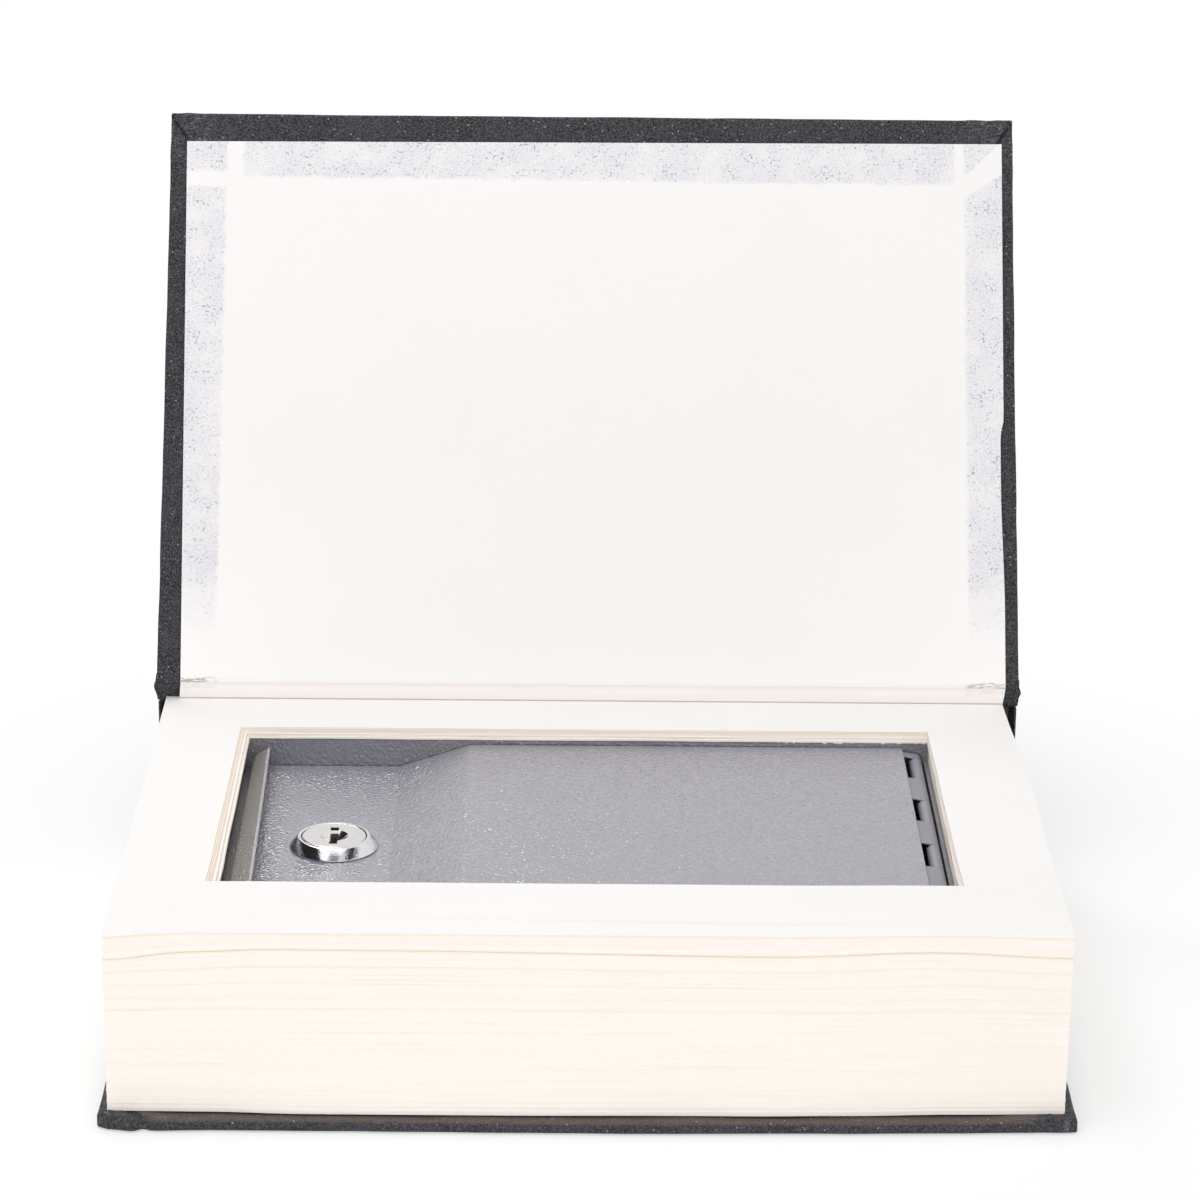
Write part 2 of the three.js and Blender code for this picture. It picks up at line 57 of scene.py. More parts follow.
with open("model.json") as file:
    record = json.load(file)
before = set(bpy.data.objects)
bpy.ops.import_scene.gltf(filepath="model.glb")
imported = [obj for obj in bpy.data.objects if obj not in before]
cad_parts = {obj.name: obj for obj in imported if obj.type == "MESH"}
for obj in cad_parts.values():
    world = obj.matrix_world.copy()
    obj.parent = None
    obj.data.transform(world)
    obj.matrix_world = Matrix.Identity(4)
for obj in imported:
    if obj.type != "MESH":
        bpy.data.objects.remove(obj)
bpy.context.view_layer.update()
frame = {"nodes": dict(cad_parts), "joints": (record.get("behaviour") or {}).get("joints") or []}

MM = 0.001


def box(node):
    """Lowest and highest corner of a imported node, in millimetres."""
    low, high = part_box(node)
    return low / MM, high / MM


def joint_place(name):
    """Where a joint stands, in millimetres."""
    found = next(joint for joint in frame["joints"] if joint["name"] == name)
    return Vector(found["pos_m"]) / MM


def lerp(first, second, amount):
    return first + (second - first) * amount


def smooth(value, low, high):
    """0 up to low, 1 from high, and a soft step between them."""
    amount = min(max((value - low) / (high - low), 0.0), 1.0)
    return amount * amount * (3 - 2 * amount)


# The case, and the frames that its two covers are drawn in
BACK_LOW, BACK_HIGH = box("back_cover_cloth")
COVER_LONG = BACK_HIGH.x - BACK_LOW.x
COVER_DEEP = BACK_HIGH.y - BACK_LOW.y
COVER_THICK = BACK_HIGH.z - BACK_LOW.z
HINGE = joint_place("cover_hinge")
JOINT_REACH = HINGE.y - BACK_HIGH.y
INNER_DROP = 0.9
OPEN_ANGLE = math.radians(120)
SWING = Matrix.Translation(HINGE) @ Matrix.Rotation(-OPEN_ANGLE, 4, "X")
FRONT_FACE = SWING @ Matrix.Translation((0, -JOINT_REACH, -INNER_DROP))
FRONT_WRAP = (
    SWING
    @ Matrix.Translation((0, -JOINT_REACH, COVER_THICK - INNER_DROP))
    @ Matrix.Rotation(math.pi, 4, "Y")
)
BACK_WRAP = Matrix.Translation((0, BACK_HIGH.y, 0))
TURN_IN = 15.0
# Distances from a cover's edge at which its covering is cut into rows
EDGE_ROWS = (1.6, 2.2, 2.7, 3.2, 3.7, 4.2, 4.7, 5.2, 5.8, 6.4, 7.2, 8, 9, 10, 11, 12, 13, TURN_IN)
# The covering stands this far proud of the front board's fore edge
PROUD = 1.3
# How far apart the covering is cut on its flat parts and up the spine, and the spine's rounding
CLOTH_PITCH = 6
SPINE_PITCH = 5
SPINE_ROUNDING = 1.1
# The joint's covering in section and the turned-in one inside it: (y, z) from the hinge
JOINT_PATH = (
    (5.0, -2.8), (4.3, -2.36), (3.8, -1.95), (3.35, -1.1), (3.1, -0.1), (3.15, 0.8), (3.5, 1.4),
    (3.95, 1.74), (4.3, 2.34), (4.75, 3.12),
)
INNER_PATH = ((2.15, 5.6), (1.3, 4.15), (0.95, 3.2), (1.6, 1.9), (2.4, 0.5), (3.2, -0.8), (3.9, -2.0))
JOINT_BLEND = (HINGE + Vector((0, 3.0, -1.5)), HINGE + Vector((0, 2.8, 1.5)))

# Pages and their window
PAGE_LOW, PAGE_HIGH = box("front_flyleaf")
BLOCK_BOTTOM = box("page_section_1")[0].z
BLOCK_TOP = box("page_section_8")[1].z
# Cuts along a leaf's length and depth and in the flyleaf's margins, and half the gap between leaves
LEAF_CUTS = (46, 26)
MARGIN_CUTS = 5
HALF_GAP = 0.004
STEEL_LOW, STEEL_HIGH = box("box_body")
SEAT = 0.3
WINDOW_LOW = Vector((STEEL_LOW.x - SEAT, STEEL_LOW.y - SEAT))
WINDOW_HIGH = Vector((STEEL_HIGH.x + SEAT, STEEL_HIGH.y + SEAT))

# The endpaper on the front cover: its level, its left and right ends at the joint and at the fore edge
PASTED_LEVEL = -0.42
PASTED_JOINT = (-113.4, 116.3)
PASTED_FORE = (-115.4, 117.0)
# How far it reaches from the joint at its left and right edges, and how finely it is drawn
PASTED_DEEP = (156.4, 157.6)
PAPER_COLUMNS = 84
PAPER_ROWS = 60
STRIP_ROWS = 10
# The strip of endpaper from there down to the flyleaf
STRIP_FOOT = (-113.9, 115.8)
STRIP_HIGH = FRONT_FACE @ Vector((0, 0.02, PASTED_LEVEL))
STRIP_LOW = Vector((0, PAGE_HIGH.y - 1.4, PAGE_HIGH.z - 0.02))
STRIP_FALL = STRIP_LOW - STRIP_HIGH
STRIP_OUT = Vector((0, STRIP_FALL.z, -STRIP_FALL.y)).normalized()

# Lid: the ends of its ramp, then where its pull stands, how the pull's lip reaches back over the
# panel, and how far the lip is skewed and narrowed
LID_LOW, LID_HIGH = box("box_lid")
RAMP_FOOT = -51.7
RAMP_TOP = -32.3
PULL_IN = 0.8
LIP_REACH = 5.05
LIP_DROP = 1.0
LIP_RISE = 3.3
LIP_SKEW = 0.016
LIP_NARROW = 2.2

# Hinge: its knuckles, how far its leaves reach from the pin, how far its tabs roll round it, and
# where the tabs leave the lid's edge and the pin
PIN = joint_place("lid_hinge")
KNUCKLE_RADIUS = 1.7
KNUCKLE_LENGTH = 15.5
FIRST_KNUCKLE = 3.6
KNUCKLE_GAP = 0.24
HINGE_REACH = 14.0
ROLL = math.radians(285)
ROLL_STEPS = 18
HINGE_SHEET = 0.4
SLOT_BACK = 0.7
SLOT_DROP = 0.9

# Lock: heights from the sunken panel that it stands on, and radii about its axis
LOCK = joint_place("lock_turn")
BEZEL_FACE = 3.0
BARREL_END = -18.0
BARREL_RADIUS = 8.0
KEYWAY_FLOOR = -13.3
PLUG_END = -20.2
KEYWAY_HALF = (1.1, 5.7)
FUNNEL_DEPTH = 2.8
BEZEL_STEPS = 96
PLUG_STEPS = 72

# How the leaves stand along the fore edge: level in the shut block, then (x, rise) places
LEAF_RISE = (
    (3.7, ((-118, 0.0), (118, 0.0))),
    (22.0, ((-118, 0.0), (-40, 0.25), (40, 0.1), (118, 0.2))),
    (33.0, ((-118, -0.2), (-85, 0.6), (0, 0.55), (60, 0.3), (90, 1.1), (118, 0.4))),
    (40.4, ((-118, -0.7), (-106, 0.2), (-78, 1.5), (-46, 1.4), (46, 0.75), (85, 2.0), (118, 0.8))),
    (44.1, ((-118, -1.0), (-97, 1.3), (-78, 2.1), (-46, 2.0), (46, 1.0), (85, 2.5), (118, 1.2))),
    (48.8, ((-118, 0.1), (-106, 1.1), (-96, 1.5), (46, 1.5), (88, 2.1), (118, 1.7))),
    (49.2, ((-118, 0.9), (-106, 1.45), (-96, 1.65), (46, 1.55), (88, 2.25), (118, 2.0))),
)
# Levels where the leaves part, with the height of the slit and how strong the painted tan shade on its
# lips is
LEAF_SLITS = (
    (48.8, 0.0, 0.9), (46.3, 0.01, 0.15), (44.1, 0.04, 0.9), (40.4, 0.025, 0.5), (36.4, 0.015, 0.3),
    (33.0, 0.015, 0.2), (30.5, 0.015, 0.3), (20.0, 0.01, 0.12),
)
# How far the back cover's fore edge and the foot of the pages stand forward: (x, distance) places
COVER_FORE = (
    (-120, 0.9), (-117, 2.2), (-111, 3.3), (-101, 2.4), (-90, 2.2), (10, 2.6), (60, 1.8), (92, 1.1),
    (108, 0.45), (120, 0.3),
)
FOOT_FORE = (
    (-118, 2.2), (-92, 2.4), (-70, 3.4), (-20, 3.4), (40, 2.9), (62, 2.4), (92, 1.1), (118, 0.4),
)
# Where the leaves above the steel rim lie over it: left, right and back, then the edge of the flyleaf
OVER_RIM = (-92.6, 92.98, 58.75)
TOP_LEFT = (-95.1, -95.65)
TOP_RIGHT = (93.1, 93.65)
TOP_BACK = 59.95


class BookCase(PropertyGroup):
    """Sizes and colours of the covers and endpapers."""

    cloth: FloatProperty(
        name="Cloth", description="Thickness of the covering", default=0.0004, unit="LENGTH"
    )
    paper: FloatProperty(
        name="Endpaper", description="Thickness of the endpaper", default=0.0003, unit="LENGTH"
    )
    rounding: FloatProperty(
        name="Edge rounding", description="Radius of the covered board edges", default=0.0013,
        unit="LENGTH",
    )
    black: FloatVectorProperty(
        name="Covering", description="Colour of the covering", default=(0.0235, 0.023, 0.027),
        subtype="COLOR",
    )
    white: FloatVectorProperty(
        name="Endpaper colour", description="Colour of the endpapers", default=(0.92, 0.9, 0.885),
        subtype="COLOR",
    )


class BookPages(PropertyGroup):
    """Look of the page block."""

    leaves: IntProperty(
        name="Leaves in a section", description="Single leaves drawn in each of the eight sections",
        default=14, min=4, max=40,
    )
    stagger: FloatProperty(
        name="Stagger", description="How far the leaves' edges stand in and out", default=0.00007,
        unit="LENGTH",
    )
    cream: FloatVectorProperty(
        name="Page paper", description="Colour of the pages", default=(0.945, 0.888, 0.83),
        subtype="COLOR",
    )


class SteelBox(PropertyGroup):
    """Sheet and paint of the lock box."""

    lid_sheet: FloatProperty(
        name="Lid sheet", description="Thickness of the lid's sheet", default=0.0008, unit="LENGTH"
    )
    bend: FloatProperty(
        name="Bend radius", description="Radius of the pull's bends", default=0.0013, unit="LENGTH"
    )
    paint: FloatVectorProperty(
        name="Paint", description="Colour of the textured paint", default=(0.302, 0.297, 0.34),
        subtype="COLOR",
    )


class CamLock(PropertyGroup):
    """Cylinder lock in the lid."""

    rim: FloatProperty(
        name="Rim rounding", description="Radius of the bezel's top edge", default=0.00025,
        unit="LENGTH",
    )
    funnel: FloatProperty(
        name="Funnel", description="Radius of the cone round the keyway", default=0.0037, unit="LENGTH"
    )


class StudioStage(PropertyGroup):
    """Floor, light and camera."""

    key: FloatProperty(
        name="Key light", description="Power of the large light above", default=6.0, min=0.0, unit="POWER"
    )
    fill: FloatProperty(
        name="Fill light", description="Power of the light in front", default=3.6, min=0.0, unit="POWER"
    )
    back: FloatProperty(
        name="Back light", description="Power of the light behind", default=1.0, min=0.0, unit="POWER"
    )
    ambient: FloatProperty(
        name="Ambient", description="Strength of the even light around", default=0.62, min=0.0,
        subtype="FACTOR",
    )


class Wire:
    """A shader socket that arithmetic adds Math nodes to."""

    def __init__(self, recipe, socket):
        self.recipe = recipe
        self.socket = socket

    def math(self, operation, *values):
        return self.recipe.node("ShaderNodeMath", {"operation": operation}, dict(enumerate(values)))

    def __add__(self, other):
        return self.math("ADD", self, other)

    def __sub__(self, other):
        return self.math("SUBTRACT", self, other)

    def __rsub__(self, other):
        return self.math("SUBTRACT", other, self)

    def __mul__(self, other):
        return self.math("MULTIPLY", self, other)

    __radd__ = __add__
    __rmul__ = __mul__

    def step(self, low, high):
        """0 at low and 1 at high, soft between them, either way round."""
        return self.recipe.node(
            "ShaderNodeMapRange",
            {"interpolation_type": "SMOOTHSTEP"},
            {"Value": self, "From Min": low, "From Max": high},
        )

    def past(self, edge, soft):
        """0 short of an edge and 1 past it. A negative soft width looks the other way."""
        return self.step(edge - soft, edge + soft)

    def top(self, other):
        return self.math("MAXIMUM", self, other)

    def sine(self):
        return self.math("SINE", self)


class Recipe:
    """Builds the nodes of one material, or of the world."""

    def __init__(self, name, kind="Material"):
        self.kind = kind
        self.owner = (bpy.data.worlds if kind == "World" else bpy.data.materials).new(name)
        self.owner.use_nodes = True
        self.tree = self.owner.node_tree
        self.tree.nodes.clear()

    def node(self, kind, settings=None, sockets=None, output=0):
        """One node: its settings first, then a number or a link for each named socket."""
        made = self.tree.nodes.new(kind)
        for key, value in (settings or {}).items():
            setattr(made, key, value)
        for key, value in (sockets or {}).items():
            if isinstance(value, Wire):
                self.tree.links.new(value.socket, made.inputs[key])
            else:
                made.inputs[key].default_value = value
        return Wire(self, made.outputs[output])

    def place(self, scale=(1, 1, 1), centre=(0, 0, 0)):
        """Object coordinates in millimetres, about a centre, stretched by a scale."""
        return self.node(
            "ShaderNodeMapping",
            {},
            {
                "Vector": self.node("ShaderNodeTexCoord", output="Object"),
                "Location": [-place * value for place, value in zip(centre, scale)],
                "Scale": [value / MM for value in scale],
            },
        )

    def sheet_place(self):
        """The piece's own flat coordinates in millimetres."""
        return self.stretched(self.node("ShaderNodeUVMap", {"uv_map": "sheet"}), [1 / MM] * 3)

    def stretched(self, where, scale, turn=0.0):
        """Coordinates turned about Z and stretched along each axis."""
        return self.node(
            "ShaderNodeMapping", {}, {"Vector": where, "Rotation": (0, 0, turn), "Scale": scale}
        )

    def part(self, vector, axis):
        return self.node("ShaderNodeSeparateXYZ", {}, {"Vector": vector}, axis)

    def joined(self, x, y=0.0, z=0.0):
        return self.node("ShaderNodeCombineXYZ", {}, {"X": x, "Y": y, "Z": z})

    def vector(self, operation, *values, output="Value"):
        return self.node(
            "ShaderNodeVectorMath", {"operation": operation}, dict(enumerate(values)), output
        )

    def stored(self, name):
        """A number that the mesh keeps at each of its points."""
        return self.node("ShaderNodeAttribute", {"attribute_name": name}, {}, "Fac")

    def cloud(self, where, per_mm, detail=2.0, rough=0.5):
        return self.node(
            "ShaderNodeTexNoise",
            {},
            {"Vector": where, "Scale": per_mm, "Detail": detail, "Roughness": rough},
        )

    def cells(self, where, per_mm, output="Distance", feature="F1"):
        return self.node(
            "ShaderNodeTexVoronoi", {"feature": feature}, {"Vector": where, "Scale": per_mm}, output
        )

    def mix(self, amount, first, second):
        """Colours, where 0 is the first and 1 the second."""
        return self.node(
            "ShaderNodeMix",
            {"data_type": "RGBA"},
            {0: amount, 6: full(first), 7: full(second)},
            2,
        )

    def bump(self, height, strength, depth):
        """Relief that is depth millimetres deep."""
        return self.node(
            "ShaderNodeBump", {}, {"Height": height, "Strength": strength, "Distance": depth * MM}
        )

    def blend(self, amount, first, second):
        """Surfaces, where 0 is the first and 1 the second."""
        return self.node("ShaderNodeMixShader", {}, {0: amount, 1: first, 2: second})

    def light(self, kind, colour, strength=1.0):
        """An even light: the world's background, or the glow of a surface."""
        return self.node(kind, {}, {"Color": full(colour), "Strength": strength})

    def finish(self, **sockets):
        """Ends the material in one glossy or matt surface."""
        named = {key.replace("_", " "): full(value) for key, value in sockets.items()}
        return self.node_out(self.node("ShaderNodeBsdfPrincipled", {}, named))

    def node_out(self, surface):
        made = self.tree.nodes.new("ShaderNodeOutput" + self.kind)
        self.tree.links.new(surface.socket, made.inputs["Surface"])
        return self.owner


def full(value):
    """A colour of three numbers gets its fourth."""
    if not isinstance(value, (Wire, float, int)) and len(value) == 3:
        return (*value, 1.0)
    return value


def tint(colour, factor):
    return tuple(part * factor for part in colour[:3])


# Colours of wear and marks, of the back board's browner top, and of painted light, shade, reflection and
# highlight
TOP_FACE_BROWN = (0.15, 0.115, 0.1)
COVER_SPECK = (0.5, 0.5, 0.5)
COVER_SCUFF = (0.2, 0.2, 0.21)
COVER_SCRATCH = (0.27, 0.27, 0.28)
SHOWN_PALE = (0.79, 0.775, 0.805)
SHOWN_GRAIN = (0.47, 0.46, 0.5)
SHOWN_FLECK = (0.13, 0.13, 0.16)
CREASE_MARK = (0.3, 0.28, 0.3)
STRIP_PAINTED_LIGHT = (0.97, 0.92, 0.89)
FOLD_SHADE = (0.76, 0.6, 0.54)
FOOT_SHADE = (0.42, 0.33, 0.28)
LEAF_BAND = (0.9, 0.79, 0.67)
LEAF_GAP_SHADE = (0.86, 0.75, 0.62)
SLIT_SHADE = (0.86, 0.72, 0.55)
RIM_CHIP = (0.8, 0.78, 0.77)
PULL_PAINTED_REFLECTION = (0.3, 0.285, 0.268)
LIP_PAINTED_HIGHLIGHT = (0.6, 0.59, 0.6)
WORN_STEEL = (0.3, 0.27, 0.24)

# Edges of the turn-ins that show through, across from the middle and up from the joint
SHOWN_LEFT = -104.0
SHOWN_RIGHT = 106.3
SHOWN_TOP = 145.9
SHOWN_TOP_ENDS = (-99.0, 103.4)


def covering(name="Black grained covering", lying=False):
    """Black leather-grain covering with pale specks and pale points that are partly dust and partly
    painted glints; the lying board's copy is lighter all over and browner on its top face.
    """
    made = Recipe(name)
    black = tint(bpy.context.scene.book_case.black, 1.55 if lying else 1.0)
    deepest, palest, dusty = (0.35, 1.9, 0.55) if lying else (0.05, 3.2, 1.0)
    where = made.place()
    grain = made.cloud(where, 2.0, 3.0, 0.75)
    pores = made.cells(where, 2.0)
    tone = made.cloud(where, 0.06, 3.0)
    per_mm = 0.6
    chosen = made.part(made.cells(where, per_mm, "Color"), 0).step(0.66, 0.7)
    speck = made.cells(where, per_mm).step(0.17, 0.08) * chosen
    dust_and_glints = made.cloud(where, 2.6, 3.0, 0.8).step(0.55, 0.66)
    wear = made.stored("wear")
    scuffs = made.cloud(where, 0.7, 4.0, 0.75).step(0.54, 0.64)
    slanting = made.stretched(made.sheet_place(), (0.22, 2.2, 1.0), math.radians(48))
    scratches = made.cloud(slanting, 1.0).step(0.56, 0.62) * scuffs.step(-0.6, 0.8)
    colour = made.mix(grain.step(0.42, 0.62), tint(black, deepest), tint(black, palest))
    colour = made.mix(tone.step(0.4, 0.7) * 0.3, colour, tint(black, 2.2))
    # Pale points in the grain: partly dust, partly painted glints
    colour = made.mix(dust_and_glints * (0.75 * dusty), colour, tint(black, 10.0))
    # On the lying board the top face turns browner, along the middle of its length
    if lying:
        across = made.part(where, 0)
        middle = across.past(-108, 3) * across.past(108.5, -2.5)
        browner_top = made.part(where, 2).step(2.1, 3.0) * middle * (0.5 + grain.step(0.4, 0.62) * 0.42)
        colour = made.mix(browner_top, colour, TOP_FACE_BROWN)
    colour = made.mix(speck * 0.75, colour, COVER_SPECK)
    colour = made.mix(wear * scuffs * 0.4, colour, COVER_SCUFF)
    colour = made.mix(wear.step(0.35, 0.9) * scratches * 0.6, colour, COVER_SCRATCH)
    # Painted shade: darker black in the creases, where the stored wear falls below nothing
    colour = made.mix(wear.step(-0.1, -0.8), colour, tint(black, 0.1))
    relief = grain + pores * 0.45
    return made.finish(
        Base_Color=colour,
        Roughness=0.55 + dust_and_glints * 0.2,
        Specular_IOR_Level=0.3,
        Normal=made.bump(relief, 1.0, 0.4),
    )


def back_board_covering():
    """The same covering on the back board, lighter all over and browner on its top face."""
    return covering("Dusty grained covering", lying=True)


def paper_tone(made, where, white):
    """Uncoated paper: faint fibres and clouds."""
    fibres = made.cloud(where, 0.9, 4.0, 0.65)
    clouds = made.cloud(where, 0.03, 2.0)
    colour = made.mix(fibres.step(0.35, 0.65), tint(white, 0.985), white)
    return made.mix(clouds.step(0.35, 0.7) * 0.5, colour, tint(white, 0.975)), fibres


def endpaper():
    """White endpaper."""
    made = Recipe("White endpaper")
    colour, fibres = paper_tone(made, made.place(), bpy.context.scene.book_case.white)
    return made.finish(Base_Color=colour, Roughness=0.82, Normal=made.bump(fibres, 0.25, 0.05))


def shown_turn_ins(across, along):
    """Where the glued turn-ins show through the endpaper: both sides, the top and cut corners."""
    upper = along.step(10.0, 34.0)
    outside_left = across.past(SHOWN_LEFT, -0.8)
    left = outside_left * upper * (1 - along.past(143.0, 0.8))
    corner = outside_left * along.past(147.8, 0.6)
    fold = (along - across * 0.67).past(70.3, 0.5) * (along - across).past(41.4, -0.5)
    right = across.past(SHOWN_RIGHT, 0.7) * upper * (1 - fold)
    first, last = SHOWN_TOP_ENDS
    top = (along + across * 0.004).past(SHOWN_TOP, 0.7) * across.past(first, 0.6) * across.past(last, -0.6)
    return left.top(top).top(corner).top(right)


def pasted_endpaper():
    """Endpaper pasted down on the cover, where the glued turn-ins show through."""
    made = Recipe("Pasted endpaper")
    # Painted shade: the pasted sheet takes the endpaper colour made darker than the flyleaf's
    white = tint(bpy.context.scene.book_case.white, 0.955)
    flat = made.sheet_place()
    colour, fibres = paper_tone(made, flat, white)
    from_joint = made.part(flat, 1)
    # Painted light: paler toward the joint
    colour = made.mix(from_joint.step(80, 0) * 0.8, colour, tint(white, 1.055))
    wobble = (made.cloud(flat, 0.3, 4.0) - 0.5) * 2.2
    across = made.part(flat, 0) + wobble
    along = from_joint + wobble
    band = shown_turn_ins(across, along)

    veil = made.cloud(flat, 0.1, 4.0, 0.6).step(0.35, 0.62)
    fine = made.cloud(flat, 2.2, 2.0, 0.6).step(0.5, 0.68)
    flecks = made.cloud(flat, 1.2, 3.0, 0.75).step(0.555, 0.62)
    clusters = made.cloud(flat, 0.22, 3.0, 0.6).step(0.38, 0.62)
    shown = made.mix(fine * 0.7, SHOWN_PALE, SHOWN_GRAIN)
    shown = made.mix(flecks * clusters * 0.9, shown, SHOWN_FLECK)
    colour = made.mix(band * (0.5 + veil * 0.5), colour, shown)

    ends = across.past(-103.6, -1.0).top(across.past(105.6, 1.0))
    crease = along.step(1.6, 1.1) * along.step(-0.4, 0.1)
    crease = crease.top(along.step(-0.6, -1.1) * along.step(-2.6, -1.9))
    streaks = made.cloud(made.stretched(flat, (0.3, 2.2, 1.0)), 1.0, 4.0, 0.7)
    colour = made.mix(crease * ends * streaks.step(0.455, 0.54) * 0.85, colour, CREASE_MARK)

    fold_line = from_joint.step(-1.8, -0.2) * from_joint.step(1.6, 0.4)
    foot = from_joint.step(0.5 - STRIP_FALL.length, 0.2 - STRIP_FALL.length)
    # Painted light: the strip over the joint paler and pinker than the pasted sheet
    colour = made.mix(from_joint.step(0.2, -0.4) * 0.8, colour, STRIP_PAINTED_LIGHT)
    colour = made.mix(fold_line * 0.13, colour, FOLD_SHADE)
    colour = made.mix(foot * 0.75, colour, FOOT_SHADE)
    relief = fibres * 0.6 + band * fine.top(flecks) * 0.8
    return made.finish(Base_Color=colour, Roughness=0.82, Normal=made.bump(relief, 0.3, 0.06))


def page_paper():
    """Cream page paper with fine lines of painted shade between single leaves on its cut edges, and
    painted tan shade beside the slits.
    """
    made = Recipe("Cream pages")
    cream = bpy.context.scene.book_pages.cream
    where = made.place()
    level = made.stored("leaf")

    def drawn_out(flat, upright, detail, rough):
        """Noise that runs far along the leaves and little across them."""
        x, y = (made.part(where, axis) * flat for axis in (0, 1))
        return made.cloud(made.joined(x, y, level * upright), 1.0, detail, rough)

    bands = drawn_out(0.012, 2.6, 4.0, 0.65)
    lines = drawn_out(0.05, 9.0, 2.0, 0.6)
    colour = made.mix(bands.step(0.56, 0.74) * 0.22, cream, LEAF_BAND)
    # Painted shade: fine lines between the leaves
    colour = made.mix(lines.step(0.58, 0.68) * 0.2, colour, LEAF_GAP_SHADE)
    # Painted tan shade on the lips of each slit
    for place, _, tan in LEAF_SLITS:
        near = level.step(place - 0.9, place) * level.step(place + 0.3, place)
        colour = made.mix(near * tan * 0.7, colour, SLIT_SHADE)
    return made.finish(Base_Color=colour, Roughness=0.85, Normal=made.bump(lines, 0.15, 0.05))


def pooled_paint(made, where):
    """Where the lid's paint is rough: by the pull, along the panel's back and before the lock."""
    across = made.part(where, 0)
    by_pull = across.past(-80, -4)
    along_back = made.part(where, 1).past(37, 13) * across.past(-42, -6)
    before_lock = made.vector("DISTANCE", where, (LOCK.x - 4, LOCK.y - 16, LOCK.z))
    rough = by_pull.top(along_back).top(before_lock.past(4, -1.5))
    return made.cells(where, 1.2) * rough


def steel_paint(name, paint, peel, gloss, pooled=0.0):
    """Textured paint: orange peel, a little colour drift, pale chips and painted shade on the box's top
    rim, a painted warm reflection of the pages on the pull and a painted highlight along its lip.
    """
    made = Recipe(name)
    where = made.place()
    swell = made.cloud(where, 0.95, 2.0, 0.55)
    dimples = made.cells(where, 1.15, feature="SMOOTH_F1")
    grit = made.cloud(where, 4.0)
    drift = made.cloud(where, 0.05)
    colour = made.mix(dimples.step(0.1, 0.75), tint(paint, 0.9), tint(paint, 1.08))
    colour = made.mix(drift.step(0.35, 0.65) * 0.35, colour, tint(paint, 0.94))
    across = made.part(where, 0)
    rim = made.part(where, 2).step(STEEL_HIGH.z - 0.35, STEEL_HIGH.z - 0.15)
    chips = rim * across.step(40, 60) * made.cloud(where, 1.1).step(0.56, 0.6)
    # Painted shade: the box's top rim darkened where it lies in the crevice under the pages
    colour = made.mix(rim * across.step(70, 60) * 0.8, colour, tint(paint, 0.3))
    colour = made.mix(chips, colour, RIM_CHIP)
    pull = made.stored("pull")
    # Painted reflection: the cream pages' warm colour on the pull's face
    colour = made.mix(pull.step(0.3, 1.0), colour, PULL_PAINTED_REFLECTION)
    # Painted highlight along the pull's lip
    colour = made.mix(pull.step(1.9, 1.96), colour, LIP_PAINTED_HIGHLIGHT)
    relief = swell * 1.1 + dimples + grit * 0.08
    if pooled:
        relief = relief + pooled_paint(made, where) * pooled
    return made.finish(
        Base_Color=colour,
        Roughness=gloss + grit * 0.08,
        Specular_IOR_Level=1.0,
        IOR=1.65,
        Normal=made.bump(relief, peel, 0.2),
    )


def box_paint():
    return steel_paint("Grey textured paint", bpy.context.scene.steel_box.paint, 1.0, 0.04, 1.5)


def body_paint():
    # Painted shade: the box takes the lid's paint darkened, for its shaded walls
    paint = tint(bpy.context.scene.steel_box.paint, 0.62)
    return steel_paint("Grey paint of the box", paint, 0.9, 0.2)


def hinge_paint():
    """Thinner paint on the hinge, rubbed through to the steel on its rolled knuckles."""
    paint = bpy.context.scene.steel_box.paint
    made = Recipe("Thin grey paint")
    where = made.place()
    grit = made.cloud(where, 2.2, 3.0)
    wear = made.cloud(where, 0.7, 4.0, 0.7).step(0.6, 0.72)
    colour = made.mix(grit, tint(paint, 0.86), tint(paint, 1.1))
    colour = made.mix(wear * 0.35, colour, WORN_STEEL)
    return made.finish(
        Base_Color=colour, Roughness=0.38 + grit * 0.2, Normal=made.bump(grit, 0.3, 0.07)
    )


def bright_metal(name, colour, rough, scratch, centre=None, ripple=0.0):
    """Plated metal: fine marks, round a centre where it was turned, and ripples of the plating."""
    made = Recipe(name)
    where = made.place(centre=tuple(centre) if centre else (0, 0, 0))
    smudge = made.cloud(where, 0.35, 3.0)
    if centre:
        level = made.vector("MULTIPLY", where, (1, 1, 0), output="Vector")
        marks = made.cloud(made.joined(made.vector("LENGTH", level) * 9.0), 1.0)
    else:
        marks = made.cloud(made.place((0.4, 6.0, 6.0)), 1.0, 3.0)
    tone = made.mix(smudge.step(0.35, 0.7) * 0.4, colour, tint(colour, 0.86))
    if ripple:
        marks = marks * scratch + made.cloud(where, 1.6, 3.0, 0.65) * ripple
        scratch = 1.0
    return made.finish(
        Base_Color=tone,
        Metallic=1.0,
        Roughness=rough + smudge.step(0.4, 0.7) * 0.06,
        Normal=made.bump(marks, scratch, 0.08 if ripple else 0.02),
    )


def chrome():
    return bright_metal("Chrome plate", (0.74, 0.74, 0.77), 0.04, 0.06, ripple=0.7)


def turned_chrome():
    return bright_metal("Turned chrome", (0.74, 0.735, 0.74), 0.13, 0.3, LOCK)


def drawn_wire():
    return bright_metal("Drawn steel wire", (0.4, 0.4, 0.41), 0.28, 0.3)


def stamped_brass():
    return bright_metal("Stamped brass", (0.2, 0.155, 0.07), 0.35, 0.3)


